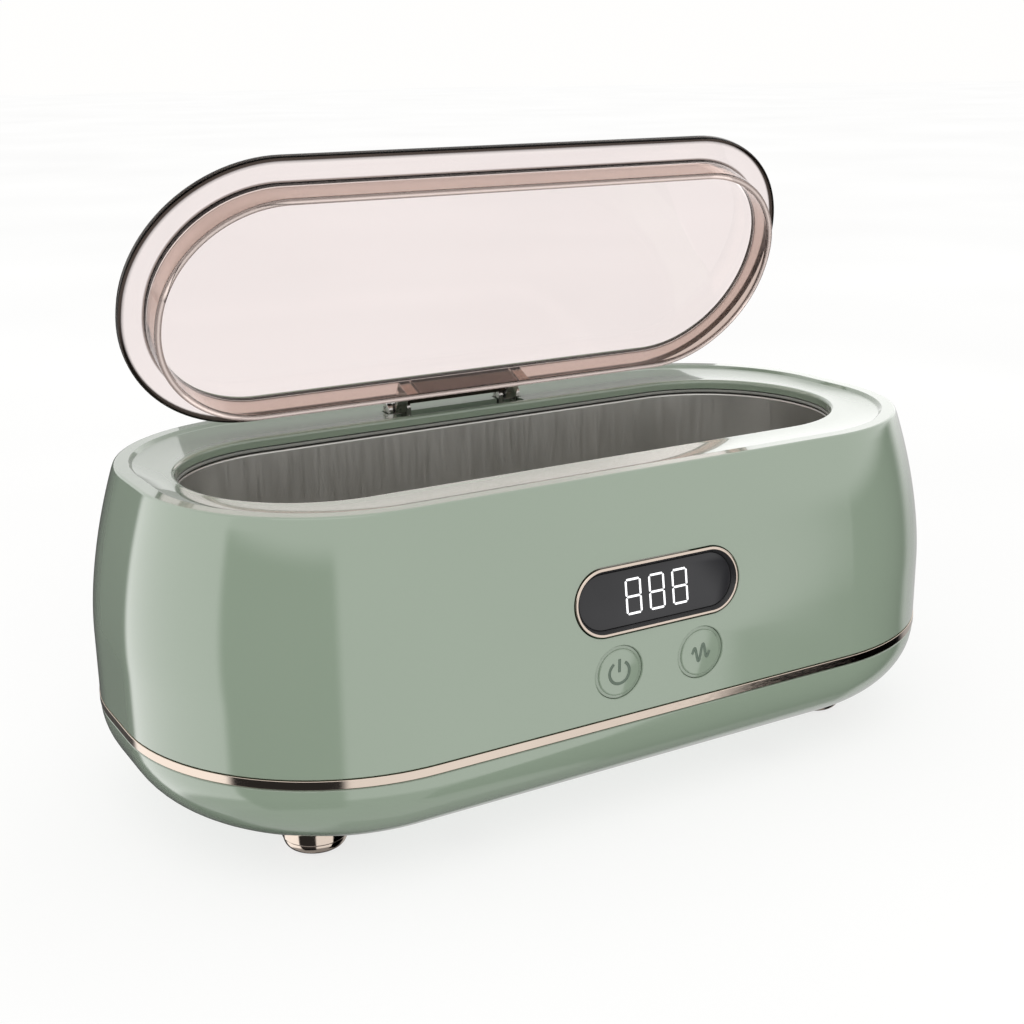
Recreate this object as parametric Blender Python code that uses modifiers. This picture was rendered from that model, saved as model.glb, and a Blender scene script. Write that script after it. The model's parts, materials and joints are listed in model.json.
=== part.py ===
"""Tabletop ultrasonic cleaner with a hinged clear lid.

The part stands on the plane Z = 0 with its long side along X and its front towards -Y.
Every size below is in millimetres, and MM turns it into Blender's metres.
"""

import math

import bmesh
import bpy
from mathutils import Matrix, Vector

MM = 0.001
GAP = 0.3  # clearance kept between pieces that touch on the real object

# ---- Driving dimensions ---------------------------------------------------------------

ARC_STEPS = 7  # facets in each rounded corner of a plan outline
WALL = 2.2

# The body's plan is a rounded rectangle, given by its half length, half width and corner.
BODY_HALF_LENGTH = 99.7
BODY_HALF_WIDTH = 53.7
BODY_CORNER = 47.0

BASE_BOTTOM = 6.0
BASE_FLOOR = 9.2
BASE_TOP = 23.5
BASE_UNDERCUT = 18.2  # how far the flat underside stands in from the widest outline
BASE_ROUNDNESS = 0.6

TRIM_THICKNESS = 1.5
TRIM_PROUD = 0.3
TRIM_WIDTH = 3.4

HOUSING_BOTTOM = BASE_TOP + TRIM_THICKNESS + 2 * GAP
WIDEST = 40.0  # height where the side wall starts to lean in
SHOULDER = 74.6  # height where the wall meets the rim's outer fillet
RIM_TOP = 75.7
RIM_INSET = 6.9
WALL_CURVE = 1.75

CREASE_INSET = 10.9
CREASE_HEIGHT = 75.0
DISH_EDGE_HEIGHT = 74.1
DECK_UNDERSIDE = 71.9

OPENING_HALF_LENGTH = 82.0
OPENING_HALF_WIDTH = 28.9
OPENING_CORNER = 28.4
OPENING_EDGE = 0.8

TANK_CLEARANCE = 0.2
TANK_SHEET = 0.8
TANK_FLANGE_TOP = 70.6
TANK_FLANGE_WIDTH = 3.1
TANK_FLOOR = 27.0
TANK_FLOOR_RADIUS = 6.0

DISPLAY_HEIGHT = 51.0
DISPLAY_TILT = math.radians(7.7)
BEZEL_LENGTH = 41.0
BEZEL_HEIGHT = 14.2
BEZEL_WIDTH = 1.2
BEZEL_DEPTH = 1.9
LENS_RECESS = 0.55

BUTTON_SPACING = 20.8
BUTTON_HEIGHT = 35.5
BUTTON_RADIUS = 5.2
BUTTON_HOLE = 5.8
BUTTON_TRAVEL = 0.6

BOARD_THICKNESS = 1.6
CONTROL_BOARD_FRONT = -45.0
CONTROL_BOARD_SIZE = (60.0, 34.0)
CONTROL_BOARD_Z = 46.0
CONTROL_SCREW_X = 25.5
CONTROL_SCREW_Z = 45.5
CONTROL_BOSS_RADIUS = 2.6
DIGIT_MODULE_SIZE = (24.0, 11.0)
DIGIT_MODULE_FRONT = -49.2

# The small screws that hold the two boards.
BOARD_HOLE_RADIUS = 1.3
BOARD_SCREW_BORE = 1.1
BOARD_SCREW_HEAD = 2.0
BOARD_SCREW_HEAD_HEIGHT = 1.2
BOARD_SCREW_SHANK = 1.0

FOOT_X = 67.5
FOOT_Y = 25.5
FOOT_RADIUS = 7.0
FOOT_TOP = 7.0
PAD_RADIUS = 4.6
PAD_TOP = 1.6

# The four long screws that hold the two shells together, from below.
POST_X = 40.0
POST_Y = 39.5
POST_RADIUS = 3.5
POST_BORE_RADIUS = 1.35
POST_BORE_DEPTH = 12.0
BOSS_RADIUS = 4.5
SCREW_HOLE_RADIUS = 1.6
SCREW_RECESS_RADIUS = 3.1
SCREW_RECESS_TOP = 12.0
SCREW_HEAD_RADIUS = 2.7
SCREW_HEAD_HEIGHT = 2.0
SCREW_SHANK_RADIUS = 1.2
SCREW_LENGTH = 23.5

HINGE_Y = 35.5
HINGE_Z = 75.05
LID_SEAT = 74.45  # height of the lid flange's lower face when the lid is shut
LID_OPEN_ANGLE = math.radians(65.7)
LID_HALF_LENGTH = 86.6
LID_HALF_WIDTH = 33.55
LID_CORNER = 33.0
LID_THICKNESS = 2.2
LID_CROWN = 0.7
SKIRT_HALF_LENGTH = 81.0
SKIRT_HALF_WIDTH = 27.9
SKIRT_CORNER = 27.4
SKIRT_DEPTH = 7.1
SKIRT_WALL = 1.7

KNUCKLE_X = 15.5
KNUCKLE_WIDTH = 3.1
KNUCKLE_RADIUS = 1.5
LUG_WIDTH = 6.2
LUG_SLOT = 3.7
LUG_RADIUS = 1.6
HINGE_PIN_RADIUS = 0.6
HINGE_BORE_RADIUS = 0.7
HINGE_BAR_LENGTH = 27.2
HINGE_BAR_FRONT = 30.2
HINGE_BAR_BACK = 33.3
HINGE_BAR_THICKNESS = 1.0
HINGE_ARM_THICKNESS = 1.3
HINGE_POCKET_LENGTH = 35.2
HINGE_POCKET_WIDTH = 4.7
HINGE_POCKET_FLOOR = 72.5
LUG_POCKET_WIDTH = 3.9
BRACKET_LENGTH = 40.0
BRACKET_WIDTH = 7.6
BRACKET_Y = 36.2
BRACKET_THICKNESS = 1.2

INLET_Z = 36.0
INLET_FRONT = 53.3  # the inlet's face sits just inside the rear wall's outer surface
INLET_DEPTH = 14.0
INLET_LENGTH = 22.0
INLET_HEIGHT = 12.0
INLET_FLANGE_SIZE = (27.0, 1.6, 14.0)
INLET_PIN_SPACING = 8.6
INLET_PIN_RADIUS = 1.2
INLET_PIN_RECESS = 1.5
INLET_PIN_TAIL = 3.0  # how far the pins stand out of the inlet's inner end
SOCKET_HALF_LENGTH = 8.5
SOCKET_RADIUS = 4.2
SOCKET_DEPTH = 10.0

PIEZO_RADIUS = 17.5
DRIVER_BOARD_BOTTOM = 11.0
DRIVER_BOARD_CENTRE_X = 56.0
DRIVER_BOARD_SIZE = (60.0, 42.0)
DRIVER_SCREW_INSET = 4.5
DRIVER_POST_RADIUS = 3.0
# Each component on the driver board stands at (x, y).
TRANSFORMER_SPOT = (50.0, 0.0)
TRANSFORMER_SIZE = (18.0, 16.0, 12.0)
CAPACITOR_SPOT = (70.0, -9.0)
CAPACITOR_RADIUS = 5.0
CAPACITOR_HEIGHT = 12.0
INDUCTOR_SPOT = (68.0, 9.0)
INDUCTOR_RADIUS = 4.8
INDUCTOR_COIL = 2.3
HEATSINK_SPOT = (34.0, 5.0)
HEATSINK_PLATE = (3.0, 22.0, 11.0)
HEATSINK_FIN = (6.0, 1.4, 10.6)
HEATSINK_FIN_PITCH = 4.5

PIEZO_WIRE_RADIUS = 0.7
MAINS_WIRE_RADIUS = 0.9
HARNESS_RADIUS = 1.2

SIDES = {"left": -1, "right": 1}
ENDS = {"front": -1, "rear": 1}


# ---- Scene ----------------------------------------------------------------------------


def clear_scene():
    for obj in list(bpy.data.objects):
        bpy.data.objects.remove(obj, do_unlink=True)


def new_collection(name):
    collection = bpy.data.collections.new(name)
    bpy.context.scene.collection.children.link(collection)
    return collection


clear_scene()
PARTS = new_collection("ultrasonic_cleaner")
CUTTERS = new_collection("cutters")


def material(name, colour, roughness, metallic=0.0, alpha=1.0):
    made = bpy.data.materials.new(name)
    made.use_nodes = True
    shader = made.node_tree.nodes["Principled BSDF"]
    shader.inputs["Base Color"].default_value = (*colour, 1.0)
    shader.inputs["Roughness"].default_value = roughness
    shader.inputs["Metallic"].default_value = metallic
    shader.inputs["Alpha"].default_value = alpha
    return made


MATERIALS = {
    "housing_green": material("housing_green", (0.34, 0.41, 0.33), 0.25),
    "rose_gold": material("rose_gold", (0.75, 0.56, 0.47), 0.15, metallic=1.0),
    "stainless": material("stainless", (0.45, 0.45, 0.43), 0.3, metallic=1.0),
    "clear_lid": material("clear_lid", (0.87, 0.72, 0.68), 0.05, alpha=0.35),
    "smoked_lens": material("smoked_lens", (0.03, 0.03, 0.035), 0.06),
    "black_plastic": material("black_plastic", (0.03, 0.03, 0.03), 0.45),
    "dark_hinge": material("dark_hinge", (0.12, 0.1, 0.09), 0.35, metallic=0.6),
    "steel": material("steel", (0.62, 0.6, 0.58), 0.25, metallic=1.0),
    "rubber": material("rubber", (0.06, 0.06, 0.06), 0.8),
    "silicone": material("silicone", (0.25, 0.25, 0.24), 0.6),
    "board_green": material("board_green", (0.02, 0.2, 0.08), 0.5),
    "ceramic": material("ceramic", (0.7, 0.66, 0.55), 0.5),
    "copper": material("copper", (0.72, 0.38, 0.2), 0.3, metallic=1.0),
    "ferrite": material("ferrite", (0.09, 0.09, 0.1), 0.6),
    "aluminium": material("aluminium", (0.7, 0.71, 0.72), 0.4, metallic=1.0),
    "display_white": material("display_white", (0.85, 0.85, 0.82), 0.5),
    "red_wire": material("red_wire", (0.55, 0.03, 0.02), 0.5),
    "black_wire": material("black_wire", (0.02, 0.02, 0.02), 0.5),
    "blue_wire": material("blue_wire", (0.03, 0.1, 0.5), 0.5),
    "brown_wire": material("brown_wire", (0.2, 0.08, 0.03), 0.5),
}


# ---- Modelling helpers ----------------------------------------------------------------


def place(obj, collection, surface=None, parent=None):
    collection.objects.link(obj)
    obj.parent = parent
    if surface:
        obj.data.materials.append(MATERIALS[surface])
    if collection is CUTTERS:
        obj.hide_render = True
        obj.display_type = "WIRE"
    return obj


def finish_mesh(name, shape, surface, parent, smooth_angle=35):
    """Turns a bmesh into a named object: a part when it has a surface, else a cutter."""
    mesh = bpy.data.meshes.new(name)
    bmesh.ops.recalc_face_normals(shape, faces=shape.faces)
    shape.to_mesh(mesh)
    shape.free()
    mesh.shade_smooth()
    mesh.set_sharp_from_angle(angle=math.radians(smooth_angle))
    obj = bpy.data.objects.new(name, mesh)
    return place(obj, PARTS if surface else CUTTERS, surface, parent)


def outline(half_length, half_width, corner):
    """Points round a rounded rectangle, anticlockwise, ARC_STEPS facets to each corner."""
    points = []
    for quarter, (sx, sy) in enumerate([(1, 1), (-1, 1), (-1, -1), (1, -1)]):
        centre = Vector((sx * (half_length - corner), sy * (half_width - corner)))
        for step in range(ARC_STEPS + 1):
            angle = math.pi / 2 * (quarter + step / ARC_STEPS)
            points.append(centre + corner * Vector((math.cos(angle), math.sin(angle))))
    return points


def loft(name, rings, surface=None, parent=None, closed=False):
    """A solid through rings of (half length, half width, corner, z).

    An open loft is capped at both ends. A closed one joins its last ring to its first,
    which leaves the hole through the middle.
    """
    shape = bmesh.new()
    loops = []
    for half_length, half_width, corner, z in rings:
        points = outline(half_length, half_width, corner)
        loops.append([shape.verts.new(Vector((x, y, z)) * MM) for x, y in points])
    if closed:
        loops.append(loops[0])
    for lower, upper in zip(loops, loops[1:]):
        for i in range(len(lower)):
            shape.faces.new((lower[i - 1], lower[i], upper[i], upper[i - 1]))
    if not closed:
        shape.faces.new(loops[0])
        shape.faces.new(loops[-1])
    return finish_mesh(name, shape, surface, parent)


def box(name, size, centre, surface=None, parent=None, bevel=0.0):
    shape = bmesh.new()
    bmesh.ops.create_cube(shape, size=1)
    bmesh.ops.scale(shape, vec=Vector(size) * MM, verts=shape.verts)
    obj = finish_mesh(name, shape, surface, parent)
    obj.location = Vector(centre) * MM
    if bevel:
        rounding = obj.modifiers.new("rounded edges", "BEVEL")
        rounding.width = bevel * MM
        rounding.segments = 2
    return obj


def cylinder(name, radius, length, centre, axis="Z", surface=None, parent=None, sides=14):
    shape = bmesh.new()
    bmesh.ops.create_cone(
        shape,
        cap_ends=True,
        segments=sides,
        radius1=radius * MM,
        radius2=radius * MM,
        depth=length * MM,
    )
    turn = {"X": Matrix.Rotation(math.pi / 2, 4, "Y"), "Y": Matrix.Rotation(math.pi / 2, 4, "X")}
    bmesh.ops.transform(shape, matrix=turn.get(axis, Matrix()), verts=shape.verts)
    obj = finish_mesh(name, shape, surface, parent)
    obj.location = Vector(centre) * MM
    return obj


def turned(name, profile, location, surface, parent=None, facing_front=False, steps=16):
    """A profile of (radius, z) points, top to bottom, turned about the object's Z axis."""
    mesh = bpy.data.meshes.new(name)
    edges = [(i, i + 1) for i in range(len(profile) - 1)]
    mesh.from_pydata([(r * MM, 0, z * MM) for r, z in profile], edges, [])
    obj = place(bpy.data.objects.new(name, mesh), PARTS, surface, parent)
    obj.location = Vector(location) * MM
    if facing_front:
        obj.rotation_euler.x = math.pi / 2
    screw = obj.modifiers.new("turned", "SCREW")
    screw.steps = steps
    screw.render_steps = steps
    screw.use_merge_vertices = True
    screw.merge_threshold = 0.00001
    screw.use_smooth_shade = True
    seam = obj.modifiers.new("closed seam", "WELD")
    seam.merge_threshold = 0.00001
    return obj


def smooth_route(points, steps=3):
    """A Catmull-Rom curve through the points, as closer points."""
    ends = [points[0] * 2 - points[1], *points, points[-1] * 2 - points[-2]]
    route = []
    for before, start, end, after in zip(ends, ends[1:], ends[2:], ends[3:]):
        for i in range(steps):
            t = i / steps
            route.append(
                0.5
                * (
                    2 * start
                    + (end - before) * t
                    + (2 * before - 5 * start + 4 * end - after) * t**2
                    + (3 * start - before - 3 * end + after) * t**3
                )
            )
    return [*route, points[-1]]


def wire(name, points, radius, surface):
    curve = bpy.data.curves.new(name, "CURVE")
    curve.dimensions = "3D"
    curve.bevel_depth = radius * MM
    curve.bevel_resolution = 1
    curve.use_fill_caps = True
    route = smooth_route([Vector(point) * MM for point in points])
    spline = curve.splines.new("POLY")
    spline.points.add(len(route) - 1)
    for target, point in zip(spline.points, route):
        target.co = (*point, 1.0)
    return place(bpy.data.objects.new(name, curve), PARTS, surface)


def combine(obj, operation, tools):
    for tool in tools:
        step = obj.modifiers.new(f"{operation.lower()} {tool.name}", "BOOLEAN")
        step.operation = operation
        step.object = tool


def join(obj, tools):
    combine(obj, "UNION", tools)


def cut(obj, tools):
    combine(obj, "DIFFERENCE", tools)


def empty(name, location, tilt=0.0):
    made = bpy.data.objects.new(name, None)
    PARTS.objects.link(made)
    made.location = Vector(location) * MM
    made.rotation_euler.x = tilt
    return made


# ---- Outer shell ----------------------------------------------------------------------


def body_ring(inset, z):
    return (BODY_HALF_LENGTH - inset, BODY_HALF_WIDTH - inset, BODY_CORNER - inset, z)


def wall_inset(z):
    """How far the side wall stands in from the widest outline at this height."""
    lean = max(0.0, z - WIDEST) / (RIM_TOP - WIDEST)
    return RIM_INSET * lean**WALL_CURVE


def base_inset(z):
    drop = (BASE_TOP - z) / (BASE_TOP - BASE_BOTTOM)
    return BASE_UNDERCUT * (1 - (1 - drop**2) ** BASE_ROUNDNESS)


def opening_ring(outset, z):
    return (
        OPENING_HALF_LENGTH + outset,
        OPENING_HALF_WIDTH + outset,
        OPENING_CORNER + outset,
        z,
    )


def dish_rings(steps=3):
    """The dished seat between the rim's crease and the opening, hollowed towards the middle."""
    outer = body_ring(CREASE_INSET, CREASE_HEIGHT)
    inner = opening_ring(OPENING_EDGE, DISH_EDGE_HEIGHT)
    rings = []
    for i in range(steps + 1):
        out = 1 - i / steps
        plan = [out * a + (1 - out) * b for a, b in zip(outer[:3], inner[:3])]
        rings.append((*plan, DISH_EDGE_HEIGHT + (CREASE_HEIGHT - DISH_EDGE_HEIGHT) * out**2))
    return rings


def build_upper_housing():
    outside = [body_ring(wall_inset(z), z) for z in (HOUSING_BOTTOM, WIDEST, 49, 58, 67)]
    rim = [
        body_ring(wall_inset(SHOULDER), SHOULDER),
        body_ring(RIM_INSET + 0.15, RIM_TOP - 0.35),
        body_ring(RIM_INSET + 0.9, RIM_TOP),
        body_ring(CREASE_INSET - 0.8, RIM_TOP),
    ]
    mouth = [
        opening_ring(0.25, DISH_EDGE_HEIGHT - 0.3),
        opening_ring(0, DISH_EDGE_HEIGHT - OPENING_EDGE),
        opening_ring(0, DECK_UNDERSIDE),
        body_ring(wall_inset(DECK_UNDERSIDE) + WALL + 1, DECK_UNDERSIDE),
    ]
    inside = [body_ring(wall_inset(z) + WALL, z) for z in (64, 52, WIDEST, HOUSING_BOTTOM)]
    housing = loft(
        "upper_housing",
        [*outside, *rim, *dish_rings(), *mouth, *inside],
        "housing_green",
        closed=True,
    )
    join(housing, [*screw_posts(), *board_bosses()])
    cut(housing, [*housing_bores(), *front_cutouts(), inlet_cutout(), *hinge_pockets()])


def screw_posts():
    top = DECK_UNDERSIDE + 1
    height = top - HOUSING_BOTTOM
    return [
        cylinder(
            f"post_{end}_{side}",
            POST_RADIUS,
            height,
            (sx * POST_X, sy * POST_Y, top - height / 2),
        )
        for end, sy in ENDS.items()
        for side, sx in SIDES.items()
    ]


def board_bosses():
    back = CONTROL_BOARD_FRONT - GAP
    root = -BODY_HALF_WIDTH + WALL - 0.8  # 0.8 mm inside the wall, so that the two join
    return [
        cylinder(
            f"board_boss_{side}",
            CONTROL_BOSS_RADIUS,
            back - root,
            (sx * CONTROL_SCREW_X, (back + root) / 2, CONTROL_SCREW_Z),
            axis="Y",
            sides=16,
        )
        for side, sx in SIDES.items()
    ]


def housing_bores():
    posts = [
        cylinder(
            f"post_bore_{end}_{side}",
            POST_BORE_RADIUS,
            2 * POST_BORE_DEPTH,
            (sx * POST_X, sy * POST_Y, HOUSING_BOTTOM),
            sides=12,
        )
        for end, sy in ENDS.items()
        for side, sx in SIDES.items()
    ]
    bosses = [
        cylinder(
            f"boss_bore_{side}",
            BOARD_SCREW_BORE,
            9,
            (sx * CONTROL_SCREW_X, CONTROL_BOARD_FRONT, CONTROL_SCREW_Z),
            axis="Y",
            sides=12,
        )
        for side, sx in SIDES.items()
    ]
    return posts + bosses


def front_cutouts():
    radius = BEZEL_HEIGHT / 2 + GAP
    window = loft(
        "window_cutout",
        [(BEZEL_LENGTH / 2 + GAP, radius, radius - 0.01, z) for z in (-8, 6)],
        parent=DISPLAY_FRAME,
    )
    holes = [
        cylinder(
            f"button_hole_{side}",
            BUTTON_HOLE,
            12,
            (sx * BUTTON_SPACING / 2, -BODY_HALF_WIDTH, BUTTON_HEIGHT),
            axis="Y",
            sides=20,
        )
        for side, sx in SIDES.items()
    ]
    return [window, *holes]


def inlet_cutout():
    size = (INLET_LENGTH + 2 * GAP, 12, INLET_HEIGHT + 2 * GAP)
    return box("inlet_cutout", size, (0, BODY_HALF_WIDTH, INLET_Z))


def hinge_pockets():
    middle = HINGE_BAR_FRONT - GAP + HINGE_POCKET_WIDTH / 2
    bar_size = (HINGE_POCKET_LENGTH, HINGE_POCKET_WIDTH, 6)
    bar_pocket = box("hinge_bar_pocket", bar_size, (0, middle, HINGE_POCKET_FLOOR + 3))
    lug_size = (LUG_WIDTH + 2 * GAP, LUG_POCKET_WIDTH, 12)
    lug_pockets = [
        box(f"lug_pocket_{side}", lug_size, (sx * KNUCKLE_X, HINGE_Y, HINGE_Z))
        for side, sx in SIDES.items()
    ]
    return [bar_pocket, *lug_pockets]


def build_base_shell():
    floor_range = BASE_TOP - BASE_FLOOR
    heights_out = [BASE_BOTTOM, 7, 8.7, 11.5, 16, BASE_TOP]
    heights_in = [BASE_TOP - floor_range * part for part in (0, 0.4, 0.75, 1)]
    shell = loft(
        "base_shell",
        [body_ring(base_inset(z), z) for z in heights_out]
        + [body_ring(base_inset(z) + WALL, z) for z in heights_in],
        "housing_green",
    )
    bosses = []
    holes = []
    for end, sy in ENDS.items():
        for side, sx in SIDES.items():
            corner = f"{end}_{side}"
            boss_top = HOUSING_BOTTOM - GAP
            boss_bottom = BASE_FLOOR - GAP
            spot = (sx * POST_X, sy * POST_Y)
            bosses.append(
                cylinder(
                    f"base_boss_{corner}",
                    BOSS_RADIUS,
                    boss_top - boss_bottom,
                    (*spot, (boss_top + boss_bottom) / 2),
                )
            )
            holes.append(cylinder(f"screw_hole_{corner}", SCREW_HOLE_RADIUS, 60, (*spot, 20), sides=12))
            recess = (*spot, SCREW_RECESS_TOP - 7)
            holes.append(cylinder(f"screw_recess_{corner}", SCREW_RECESS_RADIUS, 14, recess, sides=16))
            holes.append(
                cylinder(
                    f"foot_pocket_{corner}",
                    FOOT_RADIUS + GAP,
                    14,
                    (sx * FOOT_X, sy * FOOT_Y, FOOT_TOP + GAP - 7),
                    sides=20,
                )
            )
    for number, (x, y) in enumerate(driver_screw_spots(), start=1):
        post_top = DRIVER_BOARD_BOTTOM - GAP
        post_bottom = BASE_FLOOR - 0.5
        middle = (post_top + post_bottom) / 2
        height = post_top - post_bottom
        bosses.append(cylinder(f"driver_post_{number}", DRIVER_POST_RADIUS, height, (x, y, middle), sides=12))
        bore = (x, y, post_top + 0.5)
        holes.append(cylinder(f"driver_bore_{number}", BOARD_SCREW_BORE, 8, bore, sides=12))
    join(shell, bosses)
    cut(shell, holes)


def build_trim_ring():
    bottom = BASE_TOP + GAP
    top = bottom + TRIM_THICKNESS
    edge = 0.35
    rings = [
        body_ring(-TRIM_PROUD + edge, bottom),
        body_ring(-TRIM_PROUD, bottom + edge),
        body_ring(-TRIM_PROUD, top - edge),
        body_ring(-TRIM_PROUD + edge, top),
        body_ring(TRIM_WIDTH, top),
        body_ring(TRIM_WIDTH, bottom),
    ]
    loft("trim_ring", rings, "rose_gold", closed=True)


def build_feet():
    cap = [
        (0, FOOT_TOP),
        (FOOT_RADIUS - 0.2, FOOT_TOP),
        (FOOT_RADIUS, FOOT_TOP - 0.2),
        (FOOT_RADIUS, 2.5),
        (FOOT_RADIUS - 0.5, 1.35),
        (FOOT_RADIUS - 1.6, 0.5),
        (PAD_RADIUS + GAP, 0.35),
        (PAD_RADIUS + GAP, PAD_TOP + GAP),
        (0, PAD_TOP + GAP),
    ]
    pad = [(0, PAD_TOP), (PAD_RADIUS, PAD_TOP), (PAD_RADIUS, 0.2), (PAD_RADIUS - 0.2, 0), (0, 0)]
    for end, sy in ENDS.items():
        for side, sx in SIDES.items():
            spot = (sx * FOOT_X, sy * FOOT_Y, 0)
            turned(f"foot_{end}_{side}", cap, spot, "rose_gold")
            turned(f"foot_pad_{end}_{side}", pad, spot, "rubber")


def screw_profile(head_radius, head_height, shank_radius, length):
    """Head at the bottom, so that the screw points up."""
    return [
        (0, head_height + length),
        (shank_radius * 0.5, head_height + length),
        (shank_radius, head_height + length - 0.8),
        (shank_radius, head_height),
        (head_radius, head_height),
        (head_radius, 0.3),
        (head_radius - 0.3, 0),
        (0, 0),
    ]


def board_screw_profile(length):
    return screw_profile(BOARD_SCREW_HEAD, BOARD_SCREW_HEAD_HEIGHT, BOARD_SCREW_SHANK, length)


def build_housing_screws():
    profile = screw_profile(SCREW_HEAD_RADIUS, SCREW_HEAD_HEIGHT, SCREW_SHANK_RADIUS, SCREW_LENGTH)
    head_bottom = SCREW_RECESS_TOP - GAP - SCREW_HEAD_HEIGHT
    for end, sy in ENDS.items():
        for side, sx in SIDES.items():
            spot = (sx * POST_X, sy * POST_Y, head_bottom)
            turned(f"housing_screw_{end}_{side}", profile, spot, "steel", steps=12)


# ---- Tank and transducer --------------------------------------------------------------


def build_tank():
    def wall(outset, z):
        return opening_ring(outset - TANK_CLEARANCE, z)

    radius = TANK_FLOOR_RADIUS
    bend = radius * (1 - math.cos(math.pi / 4))
    sheet = TANK_SHEET
    flange = TANK_CLEARANCE - 0.9 + TANK_FLANGE_WIDTH
    inside = [
        wall(flange, TANK_FLANGE_TOP),
        wall(0.4, TANK_FLANGE_TOP),
        wall(0, TANK_FLANGE_TOP - 0.4),
        wall(0, TANK_FLOOR + radius),
        wall(-bend, TANK_FLOOR + bend),
        wall(-radius, TANK_FLOOR),
    ]
    outside = [
        wall(-radius, TANK_FLOOR - sheet),
        wall(sheet - bend - sheet * 0.3, TANK_FLOOR + bend - sheet * 0.7),
        wall(sheet, TANK_FLOOR + radius),
        wall(sheet, TANK_FLANGE_TOP - sheet),
        wall(flange, TANK_FLANGE_TOP - sheet),
    ]
    loft("tank", [*reversed(inside), *reversed(outside)], "stainless")


def build_tank_gasket():
    bottom = TANK_FLANGE_TOP + GAP
    top = DECK_UNDERSIDE - GAP
    inner = -0.2
    outer = 2.0
    rings = [(outer, bottom), (outer, top), (inner, top), (inner, bottom)]
    loft("tank_gasket", [opening_ring(*ring) for ring in rings], "silicone", closed=True)


def build_transducer():
    tank_bottom = TANK_FLOOR - TANK_SHEET
    bond_thickness = 0.6
    bond_top = tank_bottom - GAP
    piezo_thickness = 3.0
    piezo_top = bond_top - bond_thickness - GAP
    cylinder(
        "piezo_bond",
        PIEZO_RADIUS + 1.5,
        bond_thickness,
        (0, 0, bond_top - bond_thickness / 2),
        surface="silicone",
        sides=24,
    )
    cylinder(
        "piezo_disc",
        PIEZO_RADIUS,
        piezo_thickness,
        (0, 0, piezo_top - piezo_thickness / 2),
        surface="ceramic",
        sides=24,
    )


# ---- Display and buttons --------------------------------------------------------------

DISPLAY_FRAME = empty(
    "display_frame",
    (0, -(BODY_HALF_WIDTH - wall_inset(DISPLAY_HEIGHT)), DISPLAY_HEIGHT),
    tilt=math.pi / 2 - DISPLAY_TILT,
)


def build_display():
    """Bezel and lens lie in the display frame's XY plane, with +Z out of the window."""
    half_length = BEZEL_LENGTH / 2
    radius = BEZEL_HEIGHT / 2

    def ring(inset, z):
        return (half_length - inset, radius - inset, radius - inset - 0.01, z)

    proud = 0.2
    bezel = [
        ring(0, proud - BEZEL_DEPTH),
        ring(0, proud - 0.25),
        ring(0.25, proud),
        ring(BEZEL_WIDTH - 0.2, proud),
        ring(BEZEL_WIDTH, proud - 0.2),
        ring(BEZEL_WIDTH, proud - BEZEL_DEPTH),
    ]
    loft("display_bezel", bezel, "rose_gold", DISPLAY_FRAME, closed=True)
    face = proud - LENS_RECESS
    shelf = proud - BEZEL_DEPTH - GAP
    lens = [
        ring(BEZEL_WIDTH + GAP, face),
        ring(BEZEL_WIDTH + GAP, shelf),
        ring(GAP, shelf),
        ring(GAP, shelf - 0.8),
    ]
    loft("display_lens", lens, "smoked_lens", DISPLAY_FRAME)
    module_back = CONTROL_BOARD_FRONT - GAP
    length, height = DIGIT_MODULE_SIZE
    box(
        "digit_display",
        (length, module_back - DIGIT_MODULE_FRONT, height),
        (0, (DIGIT_MODULE_FRONT + module_back) / 2, DISPLAY_HEIGHT),
        "display_white",
        bevel=0.3,
    )


def build_control_board():
    width, height = CONTROL_BOARD_SIZE
    board = box(
        "control_board",
        (width, BOARD_THICKNESS, height),
        (0, CONTROL_BOARD_FRONT + BOARD_THICKNESS / 2, CONTROL_BOARD_Z),
        "board_green",
    )
    holes = []
    head_back = CONTROL_BOARD_FRONT + BOARD_THICKNESS + GAP + BOARD_SCREW_HEAD_HEIGHT
    for side, sx in SIDES.items():
        spot = (sx * CONTROL_SCREW_X, CONTROL_BOARD_FRONT, CONTROL_SCREW_Z)
        holes.append(
            cylinder(f"control_board_hole_{side}", BOARD_HOLE_RADIUS, 8, spot, axis="Y", sides=12)
        )
        turned(
            f"control_board_screw_{side}",
            board_screw_profile(5.2),
            (sx * CONTROL_SCREW_X, head_back, CONTROL_SCREW_Z),
            "steel",
            facing_front=True,
            steps=12,
        )
    cut(board, holes)


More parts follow.
